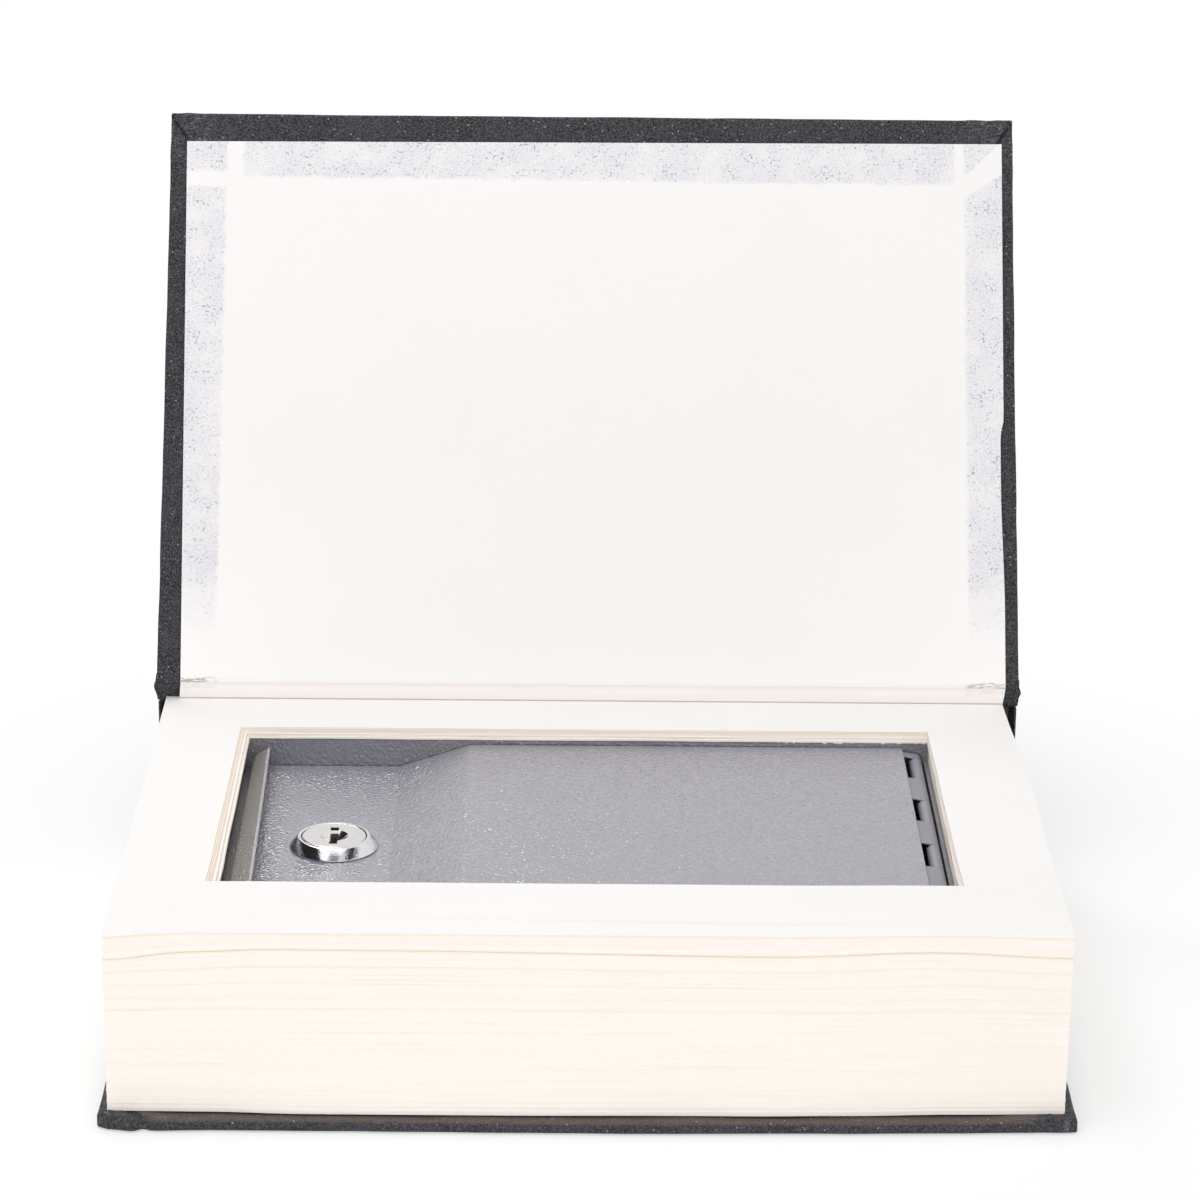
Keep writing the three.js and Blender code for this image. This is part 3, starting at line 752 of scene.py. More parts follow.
def zinc():
    """Zinc plate with the faint blue and yellow of passivation."""
    made = Recipe("Zinc plate")
    where = made.place()
    patches = made.cloud(where, 0.18, 3.0)
    grit = made.cloud(where, 3.0, 3.0)
    colour = made.mix(patches.step(0.35, 0.65), (0.44, 0.46, 0.48), (0.5, 0.47, 0.38))
    return made.finish(
        Base_Color=colour,
        Metallic=1.0,
        Roughness=0.28 + grit * 0.18,
        Normal=made.bump(grit, 0.25, 0.04),
    )


def greyboard():
    """Raw grey board with fibres and flecks."""
    made = Recipe("Grey board")
    where = made.place()
    fibres = made.cloud(made.place((0.25, 1.4, 1.4)), 1.0, 4.0, 0.7)
    flecks = made.cells(where, 0.7).step(0.14, 0.06)
    colour = made.mix(fibres.step(0.3, 0.7), (0.22, 0.2, 0.16), (0.32, 0.285, 0.225))
    colour = made.mix(flecks * 0.5, colour, (0.12, 0.11, 0.09))
    return made.finish(Base_Color=colour, Roughness=0.9, Normal=made.bump(fibres, 0.4, 0.1))


def lining():
    """Glued lining paper over open gauze, with the covering's dark turn-ins at both ends."""
    made = Recipe("Spine lining")
    where = made.place()
    across, up = (made.part(where, axis) for axis in (0, 2))
    gauze = (across * 4.2).sine().step(0.55, 0.95).top((up * 4.2).sine().step(0.55, 0.95))
    glue = made.cloud(where, 0.12, 4.0)
    colour = made.mix(glue.step(0.35, 0.7), (0.69, 0.6, 0.46), (0.56, 0.46, 0.32))
    colour = made.mix(gauze * 0.4, colour, (0.8, 0.76, 0.68))
    ends = across.step(111, 112).top(across.step(-111, -112))
    colour = made.mix(ends, colour, (0.02, 0.02, 0.023))
    return made.finish(
        Base_Color=colour, Roughness=0.75, Normal=made.bump(gauze + glue, 0.4, 0.12)
    )


FINISHES = {
    "bookcloth": covering,
    "back_board_cloth": back_board_covering,
    "greyboard": greyboard,
    "endpaper": endpaper,
    "pasted": pasted_endpaper,
    "page_paper": page_paper,
    "lining_paper": lining,
    "hammer_paint": box_paint,
    "body_paint": body_paint,
    "hinge_paint": hinge_paint,
    "pin_steel": drawn_wire,
    "chrome_plate": chrome,
    "plug_chrome": turned_chrome,
    "zinc_plate": zinc,
    "wafer_brass": stamped_brass,
}
made_finishes = {}


def finish(name):
    """The material of that name, made once."""
    if name not in made_finishes:
        made_finishes[name] = FINISHES[name]()
    return made_finishes[name]


def cut(bm, axis, places):
    """Adds a loop across the mesh at each place along an axis."""
    normal = [1.0 if k == axis else 0.0 for k in range(3)]
    for place in places:
        everything = bm.verts[:] + bm.edges[:] + bm.faces[:]
        point = [place * part for part in normal]
        bmesh.ops.bisect_plane(bm, geom=everything, dist=1e-4, plane_co=point, plane_no=normal)


def spread(low, high, pitch):
    """Even places between two ends, about a pitch apart, without the ends."""
    count = max(round((high - low) / pitch), 1)
    return [lerp(low, high, k / count) for k in range(1, count)]


def grid(bm, columns, rows, shape):
    """A grid whose points go where shape(u, v) says, with u and v from 0 to 1."""
    made = bmesh.ops.create_grid(bm, x_segments=columns, y_segments=rows, size=0.5)
    for vert in made["verts"]:
        vert.co = Vector(shape(vert.co.x + 0.5, vert.co.y + 0.5))


def settle(thing):
    """Makes the modifiers part of the mesh."""
    shown = thing.evaluated_get(bpy.context.evaluated_depsgraph_get())
    mesh = bpy.data.meshes.new_from_object(shown)
    thing.modifiers.clear()
    thing.data = mesh


def added(name, bm, material):
    """Makes a drawn mesh an object of the scene."""
    bmesh.ops.scale(bm, vec=(MM, MM, MM), verts=bm.verts)
    mesh = bpy.data.meshes.new(name)
    bm.to_mesh(mesh)
    bm.free()
    mesh.materials.append(material)
    thing = bpy.data.objects.new(name, mesh)
    bpy.context.scene.collection.objects.link(thing)
    return thing


def piece(name, bm, slot, body, replaced=(), look=None, wall=0.0, edge=0.0, sharp=42):
    """Finishes a mesh drawn in millimetres, with a wall and soft edges where they are given."""
    thing = added(name, bm, finish(look or slot))
    thing.data.polygons.foreach_set("use_smooth", [True] * len(thing.data.polygons))
    if wall:
        shell = thing.modifiers.new("Wall", "SOLIDIFY")
        shell.thickness = wall * MM
        shell.offset = -1
        # Even offsets would throw spikes at the folded corners of the covering
        shell.use_even_offset = edge > 0
    if edge:
        soft = thing.modifiers.new("Soft edges", "BEVEL")
        soft.width = edge * MM
        soft.segments = 2
        soft.limit_method = "ANGLE"
        soft.angle_limit = math.radians(sharp)
        thing.modifiers.new("Flat faces", "WEIGHTED_NORMAL")
    settle(thing)
    if not edge:
        thing.data.set_sharp_from_angle(angle=math.radians(sharp))
    if isinstance(body, str):
        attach(thing, body)
    else:
        start, end = body
        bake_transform(thing)
    if replaced:
        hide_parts(*replaced)


def points_of(made):
    """The points among what a bmesh operator made."""
    return [part for part in made["geom"] if isinstance(part, bmesh.types.BMVert)]


def block_at(bm, low, high):
    """Adds a box between two corners."""
    place = Matrix.Translation((low + high) / 2) @ Matrix.Diagonal((*(high - low), 1))
    bmesh.ops.create_cube(bm, size=1, matrix=place)


def ridge(value, middle, width):
    """1 in the middle, falling to nothing on both sides."""
    return math.exp(-((value - middle) / width) ** 2)


def dress(nodes, look):
    """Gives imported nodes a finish."""
    for name in nodes:
        mesh = frame["nodes"][name].data
        mesh.materials.clear()
        mesh.materials.append(finish(look))


def wrapped_board(seed, deep):
    """Covering folded round a board: drawn from its joint end back to its fore edge, outer face down."""
    half = COVER_LONG / 2
    bm = bmesh.new()
    block_at(bm, Vector((-half, -deep, 0)), Vector((half, 0, COVER_THICK)))
    upright = [
        edge for edge in bm.edges
        if all(vert.co.y < -1 for vert in edge.verts) and edge.verts[0].co.z != edge.verts[1].co.z
    ]
    soften(bm, upright, 0.5, 3)
    flat = [
        edge for edge in bm.edges
        if abs(edge.verts[0].co.z - edge.verts[1].co.z) < 0.01 and min(v.co.y for v in edge.verts) < -1
    ]
    soften(bm, flat, bpy.context.scene.book_case.rounding / MM, 3)
    cut(bm, 0, [sign * (half - place) for place in EDGE_ROWS for sign in (-1, 1)])
    cut(bm, 1, [place - deep for place in EDGE_ROWS])
    cut(bm, 0, spread(-half + TURN_IN, half - TURN_IN, CLOTH_PITCH))
    cut(bm, 1, spread(TURN_IN - deep, 0, CLOTH_PITCH))
    opened = []
    for face in bm.faces:
        middle = face.calc_center_median()
        inside = abs(middle.x) < half - TURN_IN and middle.y > TURN_IN - deep
        if middle.y > -0.001 or (inside and middle.z > COVER_THICK - 0.01):
            opened.append(face)
    bmesh.ops.delete(bm, geom=opened, context="FACES")
    lump_covering(bm, seed, deep)
    return bm


def lump_covering(bm, seed, deep):
    """Gives the covering its lumps and folded corners, and stores at each point its wear, with painted
    shade along the corner folds as values below nothing.
    """
    wear_and_crease_shade = bm.verts.layers.float.new("wear")
    for vert in bm.verts:
        side = COVER_LONG / 2 - abs(vert.co.x)
        fore = deep + vert.co.y
        edge = min(side, fore)
        rim = 1 - smooth(edge, 0, 14)
        corner = 1 - smooth(math.hypot(side, fore), 5, 26)
        vert[wear_and_crease_shade] = max(0.35 * (1 - smooth(edge, 0, 1.2)), 0.9 * corner)
        inner = smooth(vert.co.z, 0.6, 2.4)
        wave = noise.noise(vert.co * 0.055 + Vector((seed, 0, 0)))
        ripple = noise.noise(vert.co * 0.35 + Vector((0, seed, 0)))
        lift = (wave * 0.25 + ripple * 0.1) * rim * inner
        lift += noise.noise(vert.co * 0.17 + Vector((0, 0, seed))) * 0.4 * corner * inner
        if inner > 0.5 and max(side, fore) < 24:
            across = (side * 1.6 - fore) / 1.9
            near = 1 - smooth(max(side, fore), 8, 22)
            lift += 0.45 * smooth(across, -0.5, 0.4) * near
            lift += (0.25 * ridge(across, 0.6, 0.8) + 0.16 * ridge(across, 3.6, 0.8)) * near
            # Painted shade along the foot of each corner fold, stored as wear below nothing
            vert[wear_and_crease_shade] -= 2.2 * ridge(across, -0.3, 0.4) * near
        vert.co.z += lift
        push = (noise.noise(vert.co * 0.09 + Vector((seed, seed, 0))) - 0.25) * 0.2 * rim
        push += (noise.noise(vert.co * 0.2 + Vector((seed, 0, seed))) - 0.3) * 0.3 * corner
        if side < 1.5:
            vert.co.x += math.copysign(min(push, 0.0), vert.co.x)
        if fore < 1.5:
            vert.co.y -= min(push, 0.0)


def soften(bm, edges, offset, segments):
    """Rounds edges."""
    bmesh.ops.bevel(
        bm, geom=edges, offset=offset, offset_type="OFFSET", segments=segments, profile=0.5,
        affect="EDGES", material=-1, clamp_overlap=True,
    )


def move_fore_edge(bm):
    """Moves the back cover's fore edge out of line, with a crease beside its left corner that is painted
    darker as shade.
    """
    wear_and_crease_shade = bm.verts.layers.float.get("wear")
    for vert in bm.verts:
        fore = COVER_DEEP + vert.co.y
        near = 1 - smooth(fore, 4, 20)
        crease = ridge(vert.co.x + fore * 0.9, -108.5, 1.5) * (1 - smooth(fore, 6, 10))
        vert.co.y += 1.3 * crease * (1 - smooth(fore, 0.5, 3))
        if vert.co.z > 1.5:
            vert.co.z += 0.35 * ridge(vert.co.x, -113.5, 2.6) * near - 0.75 * crease
        # Painted shade in the crease, stored as wear below nothing
        vert[wear_and_crease_shade] -= 0.9 * crease
        vert.co.y -= place_between(COVER_FORE, vert.co.x) * near


class BOOKSAFE_OT_covers(Operator):
    """Wrap both boards in covering, with turned-in edges and folded corners"""

    bl_idname = "booksafe.covers"
    bl_label = "Covers"

    def execute(self, context):
        cloth = context.scene.book_case.cloth / MM
        for name, body, place, replaced, seed, look, proud in (
            ("front_cover_wrap", "front_cover", FRONT_WRAP, "front_cover_cloth", 3.1, "bookcloth", PROUD),
            ("back_cover_wrap", "root", BACK_WRAP, "back_cover_cloth", 7.7, "back_board_cloth", 0.0),
        ):
            bm = wrapped_board(seed, COVER_DEEP + proud)
            if body == "root":
                move_fore_edge(bm)
            own_coordinates(bm)
            bmesh.ops.transform(bm, matrix=place, verts=bm.verts)
            piece(name, bm, "bookcloth", body, (replaced,), look, wall=cloth, sharp=50)
        dress(("front_board", "back_board", "spine_board"), "greyboard")
        return {"FINISHED"}


def pasted_place(u, v):
    """A point of the pasted endpaper: v runs from the joint to the fore edge."""
    along = v * lerp(*PASTED_DEEP, u)
    left, right = (lerp(joint, fore, v) for joint, fore in zip(PASTED_JOINT, PASTED_FORE))
    right -= 0.9 * smooth(along, 77, 72) * smooth(along, 20, 60)
    across = lerp(left, right, u)
    edge = min(COVER_LONG / 2 - abs(across), COVER_DEEP + PROUD - along)
    sunk = 0.18 * smooth(edge, TURN_IN - 1, TURN_IN + 2)
    wave = 0.05 * noise.noise(Vector((across, along, 0)) * 0.03)
    return across, -along, PASTED_LEVEL + sunk + wave


def own_coordinates(bm, depth_of=lambda vert: vert.co.y):
    """Stores a sheet's flat coordinates, in metres: across it, and down from its joint."""
    layer = bm.loops.layers.uv.new("sheet")
    for face in bm.faces:
        for loop in face.loops:
            loop[layer].uv = Vector((loop.vert.co.x, -depth_of(loop.vert))) * MM


def strip_place(u, v):
    """A point of the strip of endpaper: v runs from the cover down to the flyleaf."""
    left, right = (lerp(joint, foot, v) for joint, foot in zip(PASTED_JOINT, STRIP_FOOT))
    across = lerp(left, right, u)
    arch = math.sin(math.pi * v)
    bow = (0.35 * arch + 0.12 * noise.noise(Vector((across * 0.03, v, 0)))) * arch
    point = STRIP_HIGH + STRIP_FALL * v + STRIP_OUT * bow
    return across, point.y, point.z


class BOOKSAFE_OT_endpapers(Operator):
    """Lay the pasted endpaper and the strip over the joint, and finish the back pastedown"""

    bl_idname = "booksafe.endpapers"
    bl_label = "Endpapers"

    def execute(self, context):
        paper = context.scene.book_case.paper / MM
        bm = bmesh.new()
        grid(bm, PAPER_COLUMNS, PAPER_ROWS, pasted_place)
        bmesh.ops.reverse_faces(bm, faces=bm.faces)
        own_coordinates(bm)
        bmesh.ops.transform(bm, matrix=FRONT_FACE, verts=bm.verts)
        piece("pasted_endpaper", bm, "endpaper", "front_cover", ("front_pastedown",), "pasted", paper)

        bm = bmesh.new()
        grid(bm, PAPER_COLUMNS, STRIP_ROWS, strip_place)
        slant = STRIP_FALL.length / STRIP_FALL.z
        own_coordinates(bm, lambda vert: (vert.co.z - STRIP_HIGH.z) * slant)
        face_out(bm, STRIP_OUT)
        piece("joint_endpaper", bm, "endpaper", (STRIP_LOW, STRIP_HIGH), (), "pasted", paper)
        dress(("back_pastedown",), "endpaper")
        return {"FINISHED"}


def face_out(bm, direction):
    """Turns an open sheet so that it faces a direction."""
    if sum((face.normal.dot(direction) for face in bm.faces), 0.0) < 0:
        bmesh.ops.reverse_faces(bm, faces=bm.faces)
    bm.normal_update()


def along_path(path, v):
    """The point at v, from 0 to 1, of a path of (y, z) places."""
    at = v * (len(path) - 1)
    index = min(int(at), len(path) - 2)
    return [lerp(first, last, at - index) for first, last in zip(path[index], path[index + 1])]


def joint_point(u, v):
    """A point of the joint's covering, a little swollen at both ends."""
    dy, dz = along_path(JOINT_PATH, v)
    half = COVER_LONG / 2
    across = (u - 0.5) * (COVER_LONG + 0.5)
    swell = smooth(abs(across), half - 12, half - 1) * math.sin(math.pi * v)
    grow = 1 + 0.07 * swell + 0.03 * noise.noise(Vector((across * 0.06, v * 2, 4)))
    return across, HINGE.y + dy * grow, HINGE.z + dz * grow


def turn_in_point(sign, u, v):
    """A point of the covering turned in at the joint's left (-1) or right (1) end."""
    dy, dz = along_path(INNER_PATH, v)
    arch = math.sin(math.pi * v)
    lump = noise.noise(Vector((sign * 5 + u * 2.2, v * 3.1, 2)))
    across = lerp(109.0, COVER_LONG / 2 + 0.2, u) + 0.9 * smooth(u, 0.55, 1.0) * arch * (0.5 + lump)
    swell = 0.5 * abs(lump) * arch
    return sign * across, HINGE.y + dy - swell, HINGE.z + dz - swell * 0.4


def spine_wrap(cloth):
    """The covering of the spine, open toward the pages."""
    low, high = box("spine_cloth")
    half = COVER_LONG / 2
    bm = bmesh.new()
    block_at(bm, low, high)
    outer = [e for e in bm.edges if max(v.co.y for v in e.verts) > high.y - 0.1]
    soften(bm, outer, SPINE_ROUNDING, 3)
    cut(bm, 0, [sign * (half - place) for place in (2.5, 4, 6, 9, TURN_IN) for sign in (-1, 1)])
    cut(bm, 0, spread(-half + TURN_IN, half - TURN_IN, CLOTH_PITCH))
    cut(bm, 2, spread(low.z, high.z, SPINE_PITCH))
    opened = [
        face for face in bm.faces
        if face.calc_center_median().y < low.y + 0.01
        and abs(face.calc_center_median().x) < half - TURN_IN
    ]
    bmesh.ops.delete(bm, geom=opened, context="FACES")
    for vert in bm.verts:
        if vert.co.y > low.y + 0.5:
            vert.co.y += min(noise.noise(vert.co * 0.05) * 0.25 - 0.05, 0.0)
    piece("spine_wrap", bm, "bookcloth", "root", ("spine_cloth",), wall=cloth, sharp=50)


class BOOKSAFE_OT_spine(Operator):
    """Wrap the spine and join it to both covers"""

    bl_idname = "booksafe.spine"
    bl_label = "Spine and joints"

    def execute(self, context):
        cloth = context.scene.book_case.cloth / MM
        spine_wrap(cloth)
        bm = bmesh.new()
        grid(bm, 96, 2 * (len(JOINT_PATH) - 1), joint_point)
        face_out(bm, Vector((0, 1, -0.1)))
        piece(
            "joint_covering", bm, "bookcloth", JOINT_BLEND, ("front_joint_cloth",), wall=cloth, sharp=60
        )
        bm = bmesh.new()
        for sign in (-1, 1):
            grid(bm, 12, 24, partial(turn_in_point, sign))
        bmesh.ops.recalc_face_normals(bm, faces=bm.faces)
        for island in list(islands(bm)):
            if sum(face.normal.y for face in island) > 0:
                bmesh.ops.reverse_faces(bm, faces=island)
        piece("joint_turn_ins", bm, "bookcloth", JOINT_BLEND, (), wall=cloth, sharp=60)
        dress(("back_joint_cloth",), "bookcloth")
        dress(("spine_lining",), "lining_paper")
        return {"FINISHED"}


def place_between(places, x):
    """The value at x between listed (x, value) places, with a soft run from one to the next."""
    for (x0, value0), (x1, value1) in zip(places, places[1:]):
        if x <= x1:
            return lerp(value0, value1, smooth(x, x0, x1))
    return places[-1][1]


def leaf_height(x, y, level):
    """How high a leaf of the shut block stands in the lying book."""
    toward_fore = smooth(-y, 20, 83.7) ** 1.4
    for (level0, places0), (level1, places1) in zip(LEAF_RISE, LEAF_RISE[1:]):
        if level <= level1 + 1e-6:
            amount = max((level - level0) / (level1 - level0), 0.0)
            rise = lerp(place_between(places0, x), place_between(places1, x), amount)
            return level + rise * toward_fore
    return level + toward_fore * place_between(LEAF_RISE[-1][1], x)


def running(bm, axis):
    """The edges that run along X (0) or Y (1)."""
    across = 1 - axis
    return [e for e in bm.edges if abs(e.verts[0].co[across] - e.verts[1].co[across]) < 1e-6]


def rectangle(bm, low, high):
    """The corner points between two corners, one after another."""
    return [bm.verts.new((x, y, 0)) for x, y in (low.xy, (high.x, low.y), high.xy, (low.x, high.y))]


def leaf_outline(long_cuts, short_cuts, margin_cuts):
    """A mesh of one leaf with its window, a millimetre thick."""
    bm = bmesh.new()
    rim = rectangle(bm, PAGE_LOW, PAGE_HIGH)
    hole = rectangle(bm, WINDOW_LOW, WINDOW_HIGH)
    for k in range(4):
        after = (k + 1) % 4
        bm.faces.new((rim[k], rim[after], hole[after], hole[k]))
    if margin_cuts:
        spokes = [e for e in bm.edges if (e.verts[0] in rim) != (e.verts[1] in rim)]
        bmesh.ops.subdivide_edges(bm, edges=spokes, cuts=margin_cuts, use_grid_fill=True)
    along = [running(bm, axis) for axis in (0, 1)]
    for edges, cuts in zip(along, (long_cuts, short_cuts)):
        bmesh.ops.subdivide_edges(bm, edges=edges, cuts=cuts, use_grid_fill=True)
    raised = points_of(bmesh.ops.extrude_face_region(bm, geom=bm.faces[:]))
    bmesh.ops.translate(bm, verts=raised, vec=(0, 0, 1))
    bmesh.ops.recalc_face_normals(bm, faces=bm.faces)
    mesh = bpy.data.meshes.new("leaf outline")
    bm.to_mesh(mesh)
    bm.free()
    return mesh


def slit_below(level, pitch):
    """Height of the slit at the leaf boundary nearest to a level."""
    return sum(height for place, height, _ in LEAF_SLITS if abs(place - level) < pitch / 2)


def window_edge(x, y, up, rough):
    """Where the window's edge lies above the steel rim, from 0 on the rim to 1 at the flyleaf."""
    toward_fore = (WINDOW_HIGH.y - y) / (WINDOW_HIGH.y - WINDOW_LOW.y)
    if abs(x - WINDOW_LOW.x) < 0.01:
        x = lerp(OVER_RIM[0], lerp(*TOP_LEFT, toward_fore), up) - rough
    elif abs(x - WINDOW_HIGH.x) < 0.01:
        x = lerp(OVER_RIM[1], lerp(*TOP_RIGHT, toward_fore), up) + rough
    if abs(y - WINDOW_HIGH.y) < 0.01:
        y = lerp(OVER_RIM[2], TOP_BACK, up) + rough
    elif abs(y - WINDOW_LOW.y) < 0.01:
        y -= rough
    return x, y


def side_shift(x, y, level):
    """How far a leaf's left or right edge stands out of the straight block."""
    waist = 0.4 * (1 - (level - BLOCK_BOTTOM) / (BLOCK_TOP - BLOCK_BOTTOM))
    to_spine = (y - PAGE_LOW.y) / (PAGE_HIGH.y - PAGE_LOW.y)
    skew = lerp(-0.5, 0.0, to_spine) if x < 0 else -2.0 * smooth(to_spine, 0.6, 1.02)
    return skew - math.copysign(waist, x)


def foot_shift(x, level):
    """How far the leaves' fore edge stands forward: not at all at the top, most at the foot."""
    foot = max(BLOCK_TOP - level, 0.0) / (BLOCK_TOP - BLOCK_BOTTOM)
    return place_between(FOOT_FORE, x) * foot ** 1.5


def slit_open(x, y, seed):
    """How far a slit between two leaves stands open, from 0 to 1: only toward the fore edge."""
    patch = smooth(noise.noise(Vector((x * 0.018, 0.3, seed))), -0.4, 0.3)
    return smooth(-y, 30, 83) * (0.35 + 0.65 * patch)


def stack_leaves(bm, outline, levels, draw, stagger):
    """Adds a leaf between each two levels, its edges a little in or out of line."""
    layer = bm.verts.layers.float.new("leaf")
    near = 0.01
    step_in = 0.0
    for index, (low, high) in enumerate(zip(levels, levels[1:])):
        first = len(bm.verts)
        bm.from_mesh(outline)
        bm.verts.ensure_lookup_table()
        shift_x = draw.uniform(-stagger, stagger)
        shift_y = draw.uniform(-stagger, stagger)
        if index % 4 == 0:
            step_in = draw.uniform(0.0, 0.3)
        widen = step_in + draw.uniform(0.0, 0.1)
        seed = draw.uniform(0, 50)
        up = (high - STEEL_HIGH.z) / (PAGE_HIGH.z - STEEL_HIGH.z)
        uneven = draw.uniform(-0.22, 0.22) if 0.1 < up < 0.9 else 0.0
        slit = slit_below(high, high - low)
        for vert in bm.verts[first:]:
            x, y = vert.co.x, vert.co.y
            top = vert.co.z > 0.5
            level = high - HALF_GAP if top else low + HALF_GAP
            vert[layer] = level
            ripple = noise.noise(Vector((x * 0.03, y * 0.03, seed)))
            vert.co.z = leaf_height(x, y, level)
            if top and slit:
                vert.co.z -= slit * slit_open(x, y, low)
            if x < PAGE_LOW.x + near or x > PAGE_HIGH.x - near:
                vert.co.x = x + shift_x + ripple * 0.08 + side_shift(x, y, level)
            if y < PAGE_LOW.y + near:
                vert.co.y = y + shift_y + ripple * 0.08 - foot_shift(x, level)
            at_hole = WINDOW_LOW.x - near < x < WINDOW_HIGH.x + near
            if at_hole and WINDOW_LOW.y - near < y < WINDOW_HIGH.y + near:
                if up > 0:
                    vert.co.xy = window_edge(x, y, min(up + uneven * 0.5, 1.0), 0.3 * abs(ripple))
                else:
                    vert.co.x += math.copysign(widen * 0.35, x)


class BOOKSAFE_OT_pages(Operator):
    """Stack the leaves of every section, with the window cut through them"""

    bl_idname = "booksafe.pages"
    bl_label = "Pages"

    def execute(self, context):
        pages = context.scene.book_pages
        draw = random.Random(11)
        outline = leaf_outline(*LEAF_CUTS, 0)
        stagger = pages.stagger / MM
        sections = sorted(name for name in frame["nodes"] if name.startswith("page_section_"))
        pitch = (BLOCK_TOP - BLOCK_BOTTOM) / len(sections)
        for number, name in enumerate(sections):
            bottom = BLOCK_BOTTOM + number * pitch
            levels = [lerp(bottom, bottom + pitch, k / pages.leaves) for k in range(pages.leaves + 1)]
            bm = bmesh.new()
            stack_leaves(bm, outline, levels, draw, stagger)
            piece(f"leaves_{number + 1}", bm, "page_paper", "root", (name,), sharp=35)
        bm = bmesh.new()
        flyleaf = leaf_outline(*LEAF_CUTS, MARGIN_CUTS)
        stack_leaves(bm, flyleaf, [BLOCK_TOP, PAGE_HIGH.z], draw, stagger)
        piece("top_flyleaf", bm, "endpaper", "root", ("front_flyleaf",), sharp=35)
        return {"FINISHED"}


def bent_strip(bm, line, y0, y1, segments=6):
    """A strip drawn along Y through (x, z, bend radius) corners."""
    verts = [bm.verts.new((x, y0, z)) for x, z, _ in line]
    edges = [bm.edges.new(pair) for pair in zip(verts, verts[1:])]
    made = bmesh.ops.extrude_edge_only(bm, edges=edges)
    bmesh.ops.translate(bm, verts=points_of(made), vec=(0, y1 - y0, 0))
    for before, (x, z, radius), after in zip(line, line[1:], line[2:]):
        if radius:
            first = Vector((x - before[0], z - before[1]))
            turn = abs(first.angle_signed(Vector((after[0] - x, after[1] - z))))
            fold = [
                e for e in bm.edges
                if all(abs(v.co.x - x) < 1e-3 and abs(v.co.z - z) < 1e-3 for v in e.verts)
            ]
            soften(bm, fold, radius * math.tan(turn / 2), segments)


def skew_pull(bm, pull_x, tip):
    """Skews and narrows the pull's lip, and stores how far each point lies up the pull."""
    curl = pull_x + 0.6
    pull = bm.verts.layers.float.new("pull")
    for vert in bm.verts:
        if vert.co.x < curl + 5 and vert.co.z > tip.y - 0.1:
            vert.co.x -= LIP_SKEW * (vert.co.y - PIN.y)
            vert.co.y -= math.copysign(LIP_NARROW, vert.co.y - PIN.y)
            # The lip is marked 2, for its painted highlight
            vert[pull] = 2.0
        elif vert.co.x < curl + 6 and vert.co.z > LOCK.z + 0.01:
            vert[pull] = smooth(vert.co.z, LOCK.z + 0.6, LOCK.z + 1.8)
            vert[pull] += max(vert.co.x - curl, 0) / (tip.x - curl)


class BOOKSAFE_OT_lid(Operator):
    """Bend the lid from one sheet: sunken lock panel, ramp and curled pull"""

    bl_idname = "booksafe.lid"
    bl_label = "Lid"

    def execute(self, context):
        steel = context.scene.steel_box
        sheet = steel.lid_sheet / MM
        bend = steel.bend / MM
        pull_x = LID_LOW.x + PULL_IN + sheet
        tip = Vector((pull_x + LIP_REACH, LID_HIGH.z - LIP_DROP))
        line = (
            (tip.x, tip.y, 0),
            (pull_x, tip.y - LIP_RISE, bend + 0.3),
            (pull_x, LOCK.z, bend - 0.4),
            (RAMP_FOOT, LOCK.z, 2.4),
            (RAMP_TOP, LID_HIGH.z, 2.0),
            (LID_HIGH.x, LID_HIGH.z, 0),
        )
        bm = bmesh.new()
        bent_strip(bm, line, LID_LOW.y, LID_HIGH.y)
        skew_pull(bm, pull_x, tip)
        corners = [vert for vert in bm.verts if vert.co.x > LID_HIGH.x - 0.01]
        bmesh.ops.bevel(
            bm, geom=corners, offset=1.0, offset_type="OFFSET", segments=5, profile=0.5,
            affect="VERTICES", material=-1,
        )
        cut_lock_hole(bm)
        bm.normal_update()
        top = max(bm.faces, key=lambda face: face.calc_area())
        if top.normal.z < 0:
            bmesh.ops.reverse_faces(bm, faces=bm.faces)
        piece("lid_sheet", bm, "hammer_paint", "box_lid", ("box_lid",), wall=sheet, edge=0.14, sharp=50)
        return {"FINISHED"}


def faces_over_lock(bm, half_x, half_y, lowest):
    """The faces whose middles lie near the lock's axis, and above a height from its panel."""
    found = []
    for face in bm.faces:
        middle = face.calc_center_median() - LOCK
        if abs(middle.x) < half_x and abs(middle.y) < half_y and middle.z > lowest:
            found.append(face)
    return found


def cut_lock_hole(bm):
    """Opens a round hole in the sunken panel for the lock's barrel."""
    reach, radius, sides = 10.0, 8.3, 32
    cut(bm, 0, (LOCK.x - reach, LOCK.x + reach))
    cut(bm, 1, (LOCK.y - reach, LOCK.y + reach))
    patch = faces_over_lock(bm, reach, reach, -1)
    rim = list(dict.fromkeys(edge for face in patch for edge in face.edges))
    bmesh.ops.delete(bm, geom=patch, context="FACES_ONLY")
    bmesh.ops.subdivide_edges(bm, edges=rim, cuts=sides // 4 - 1)
    square = [
        edge for edge in bm.edges
        if edge.is_boundary and all(max(map(abs, (v.co - LOCK).xy)) < reach + 0.01 for v in edge.verts)
    ]
    circle = bmesh.ops.create_circle(
        bm, segments=sides, radius=radius, matrix=Matrix.Translation(LOCK)
    )["verts"]
    ring = [edge for edge in bm.edges if edge.verts[0] in circle and edge.verts[1] in circle]
    bmesh.ops.bridge_loops(bm, edges=square + ring)


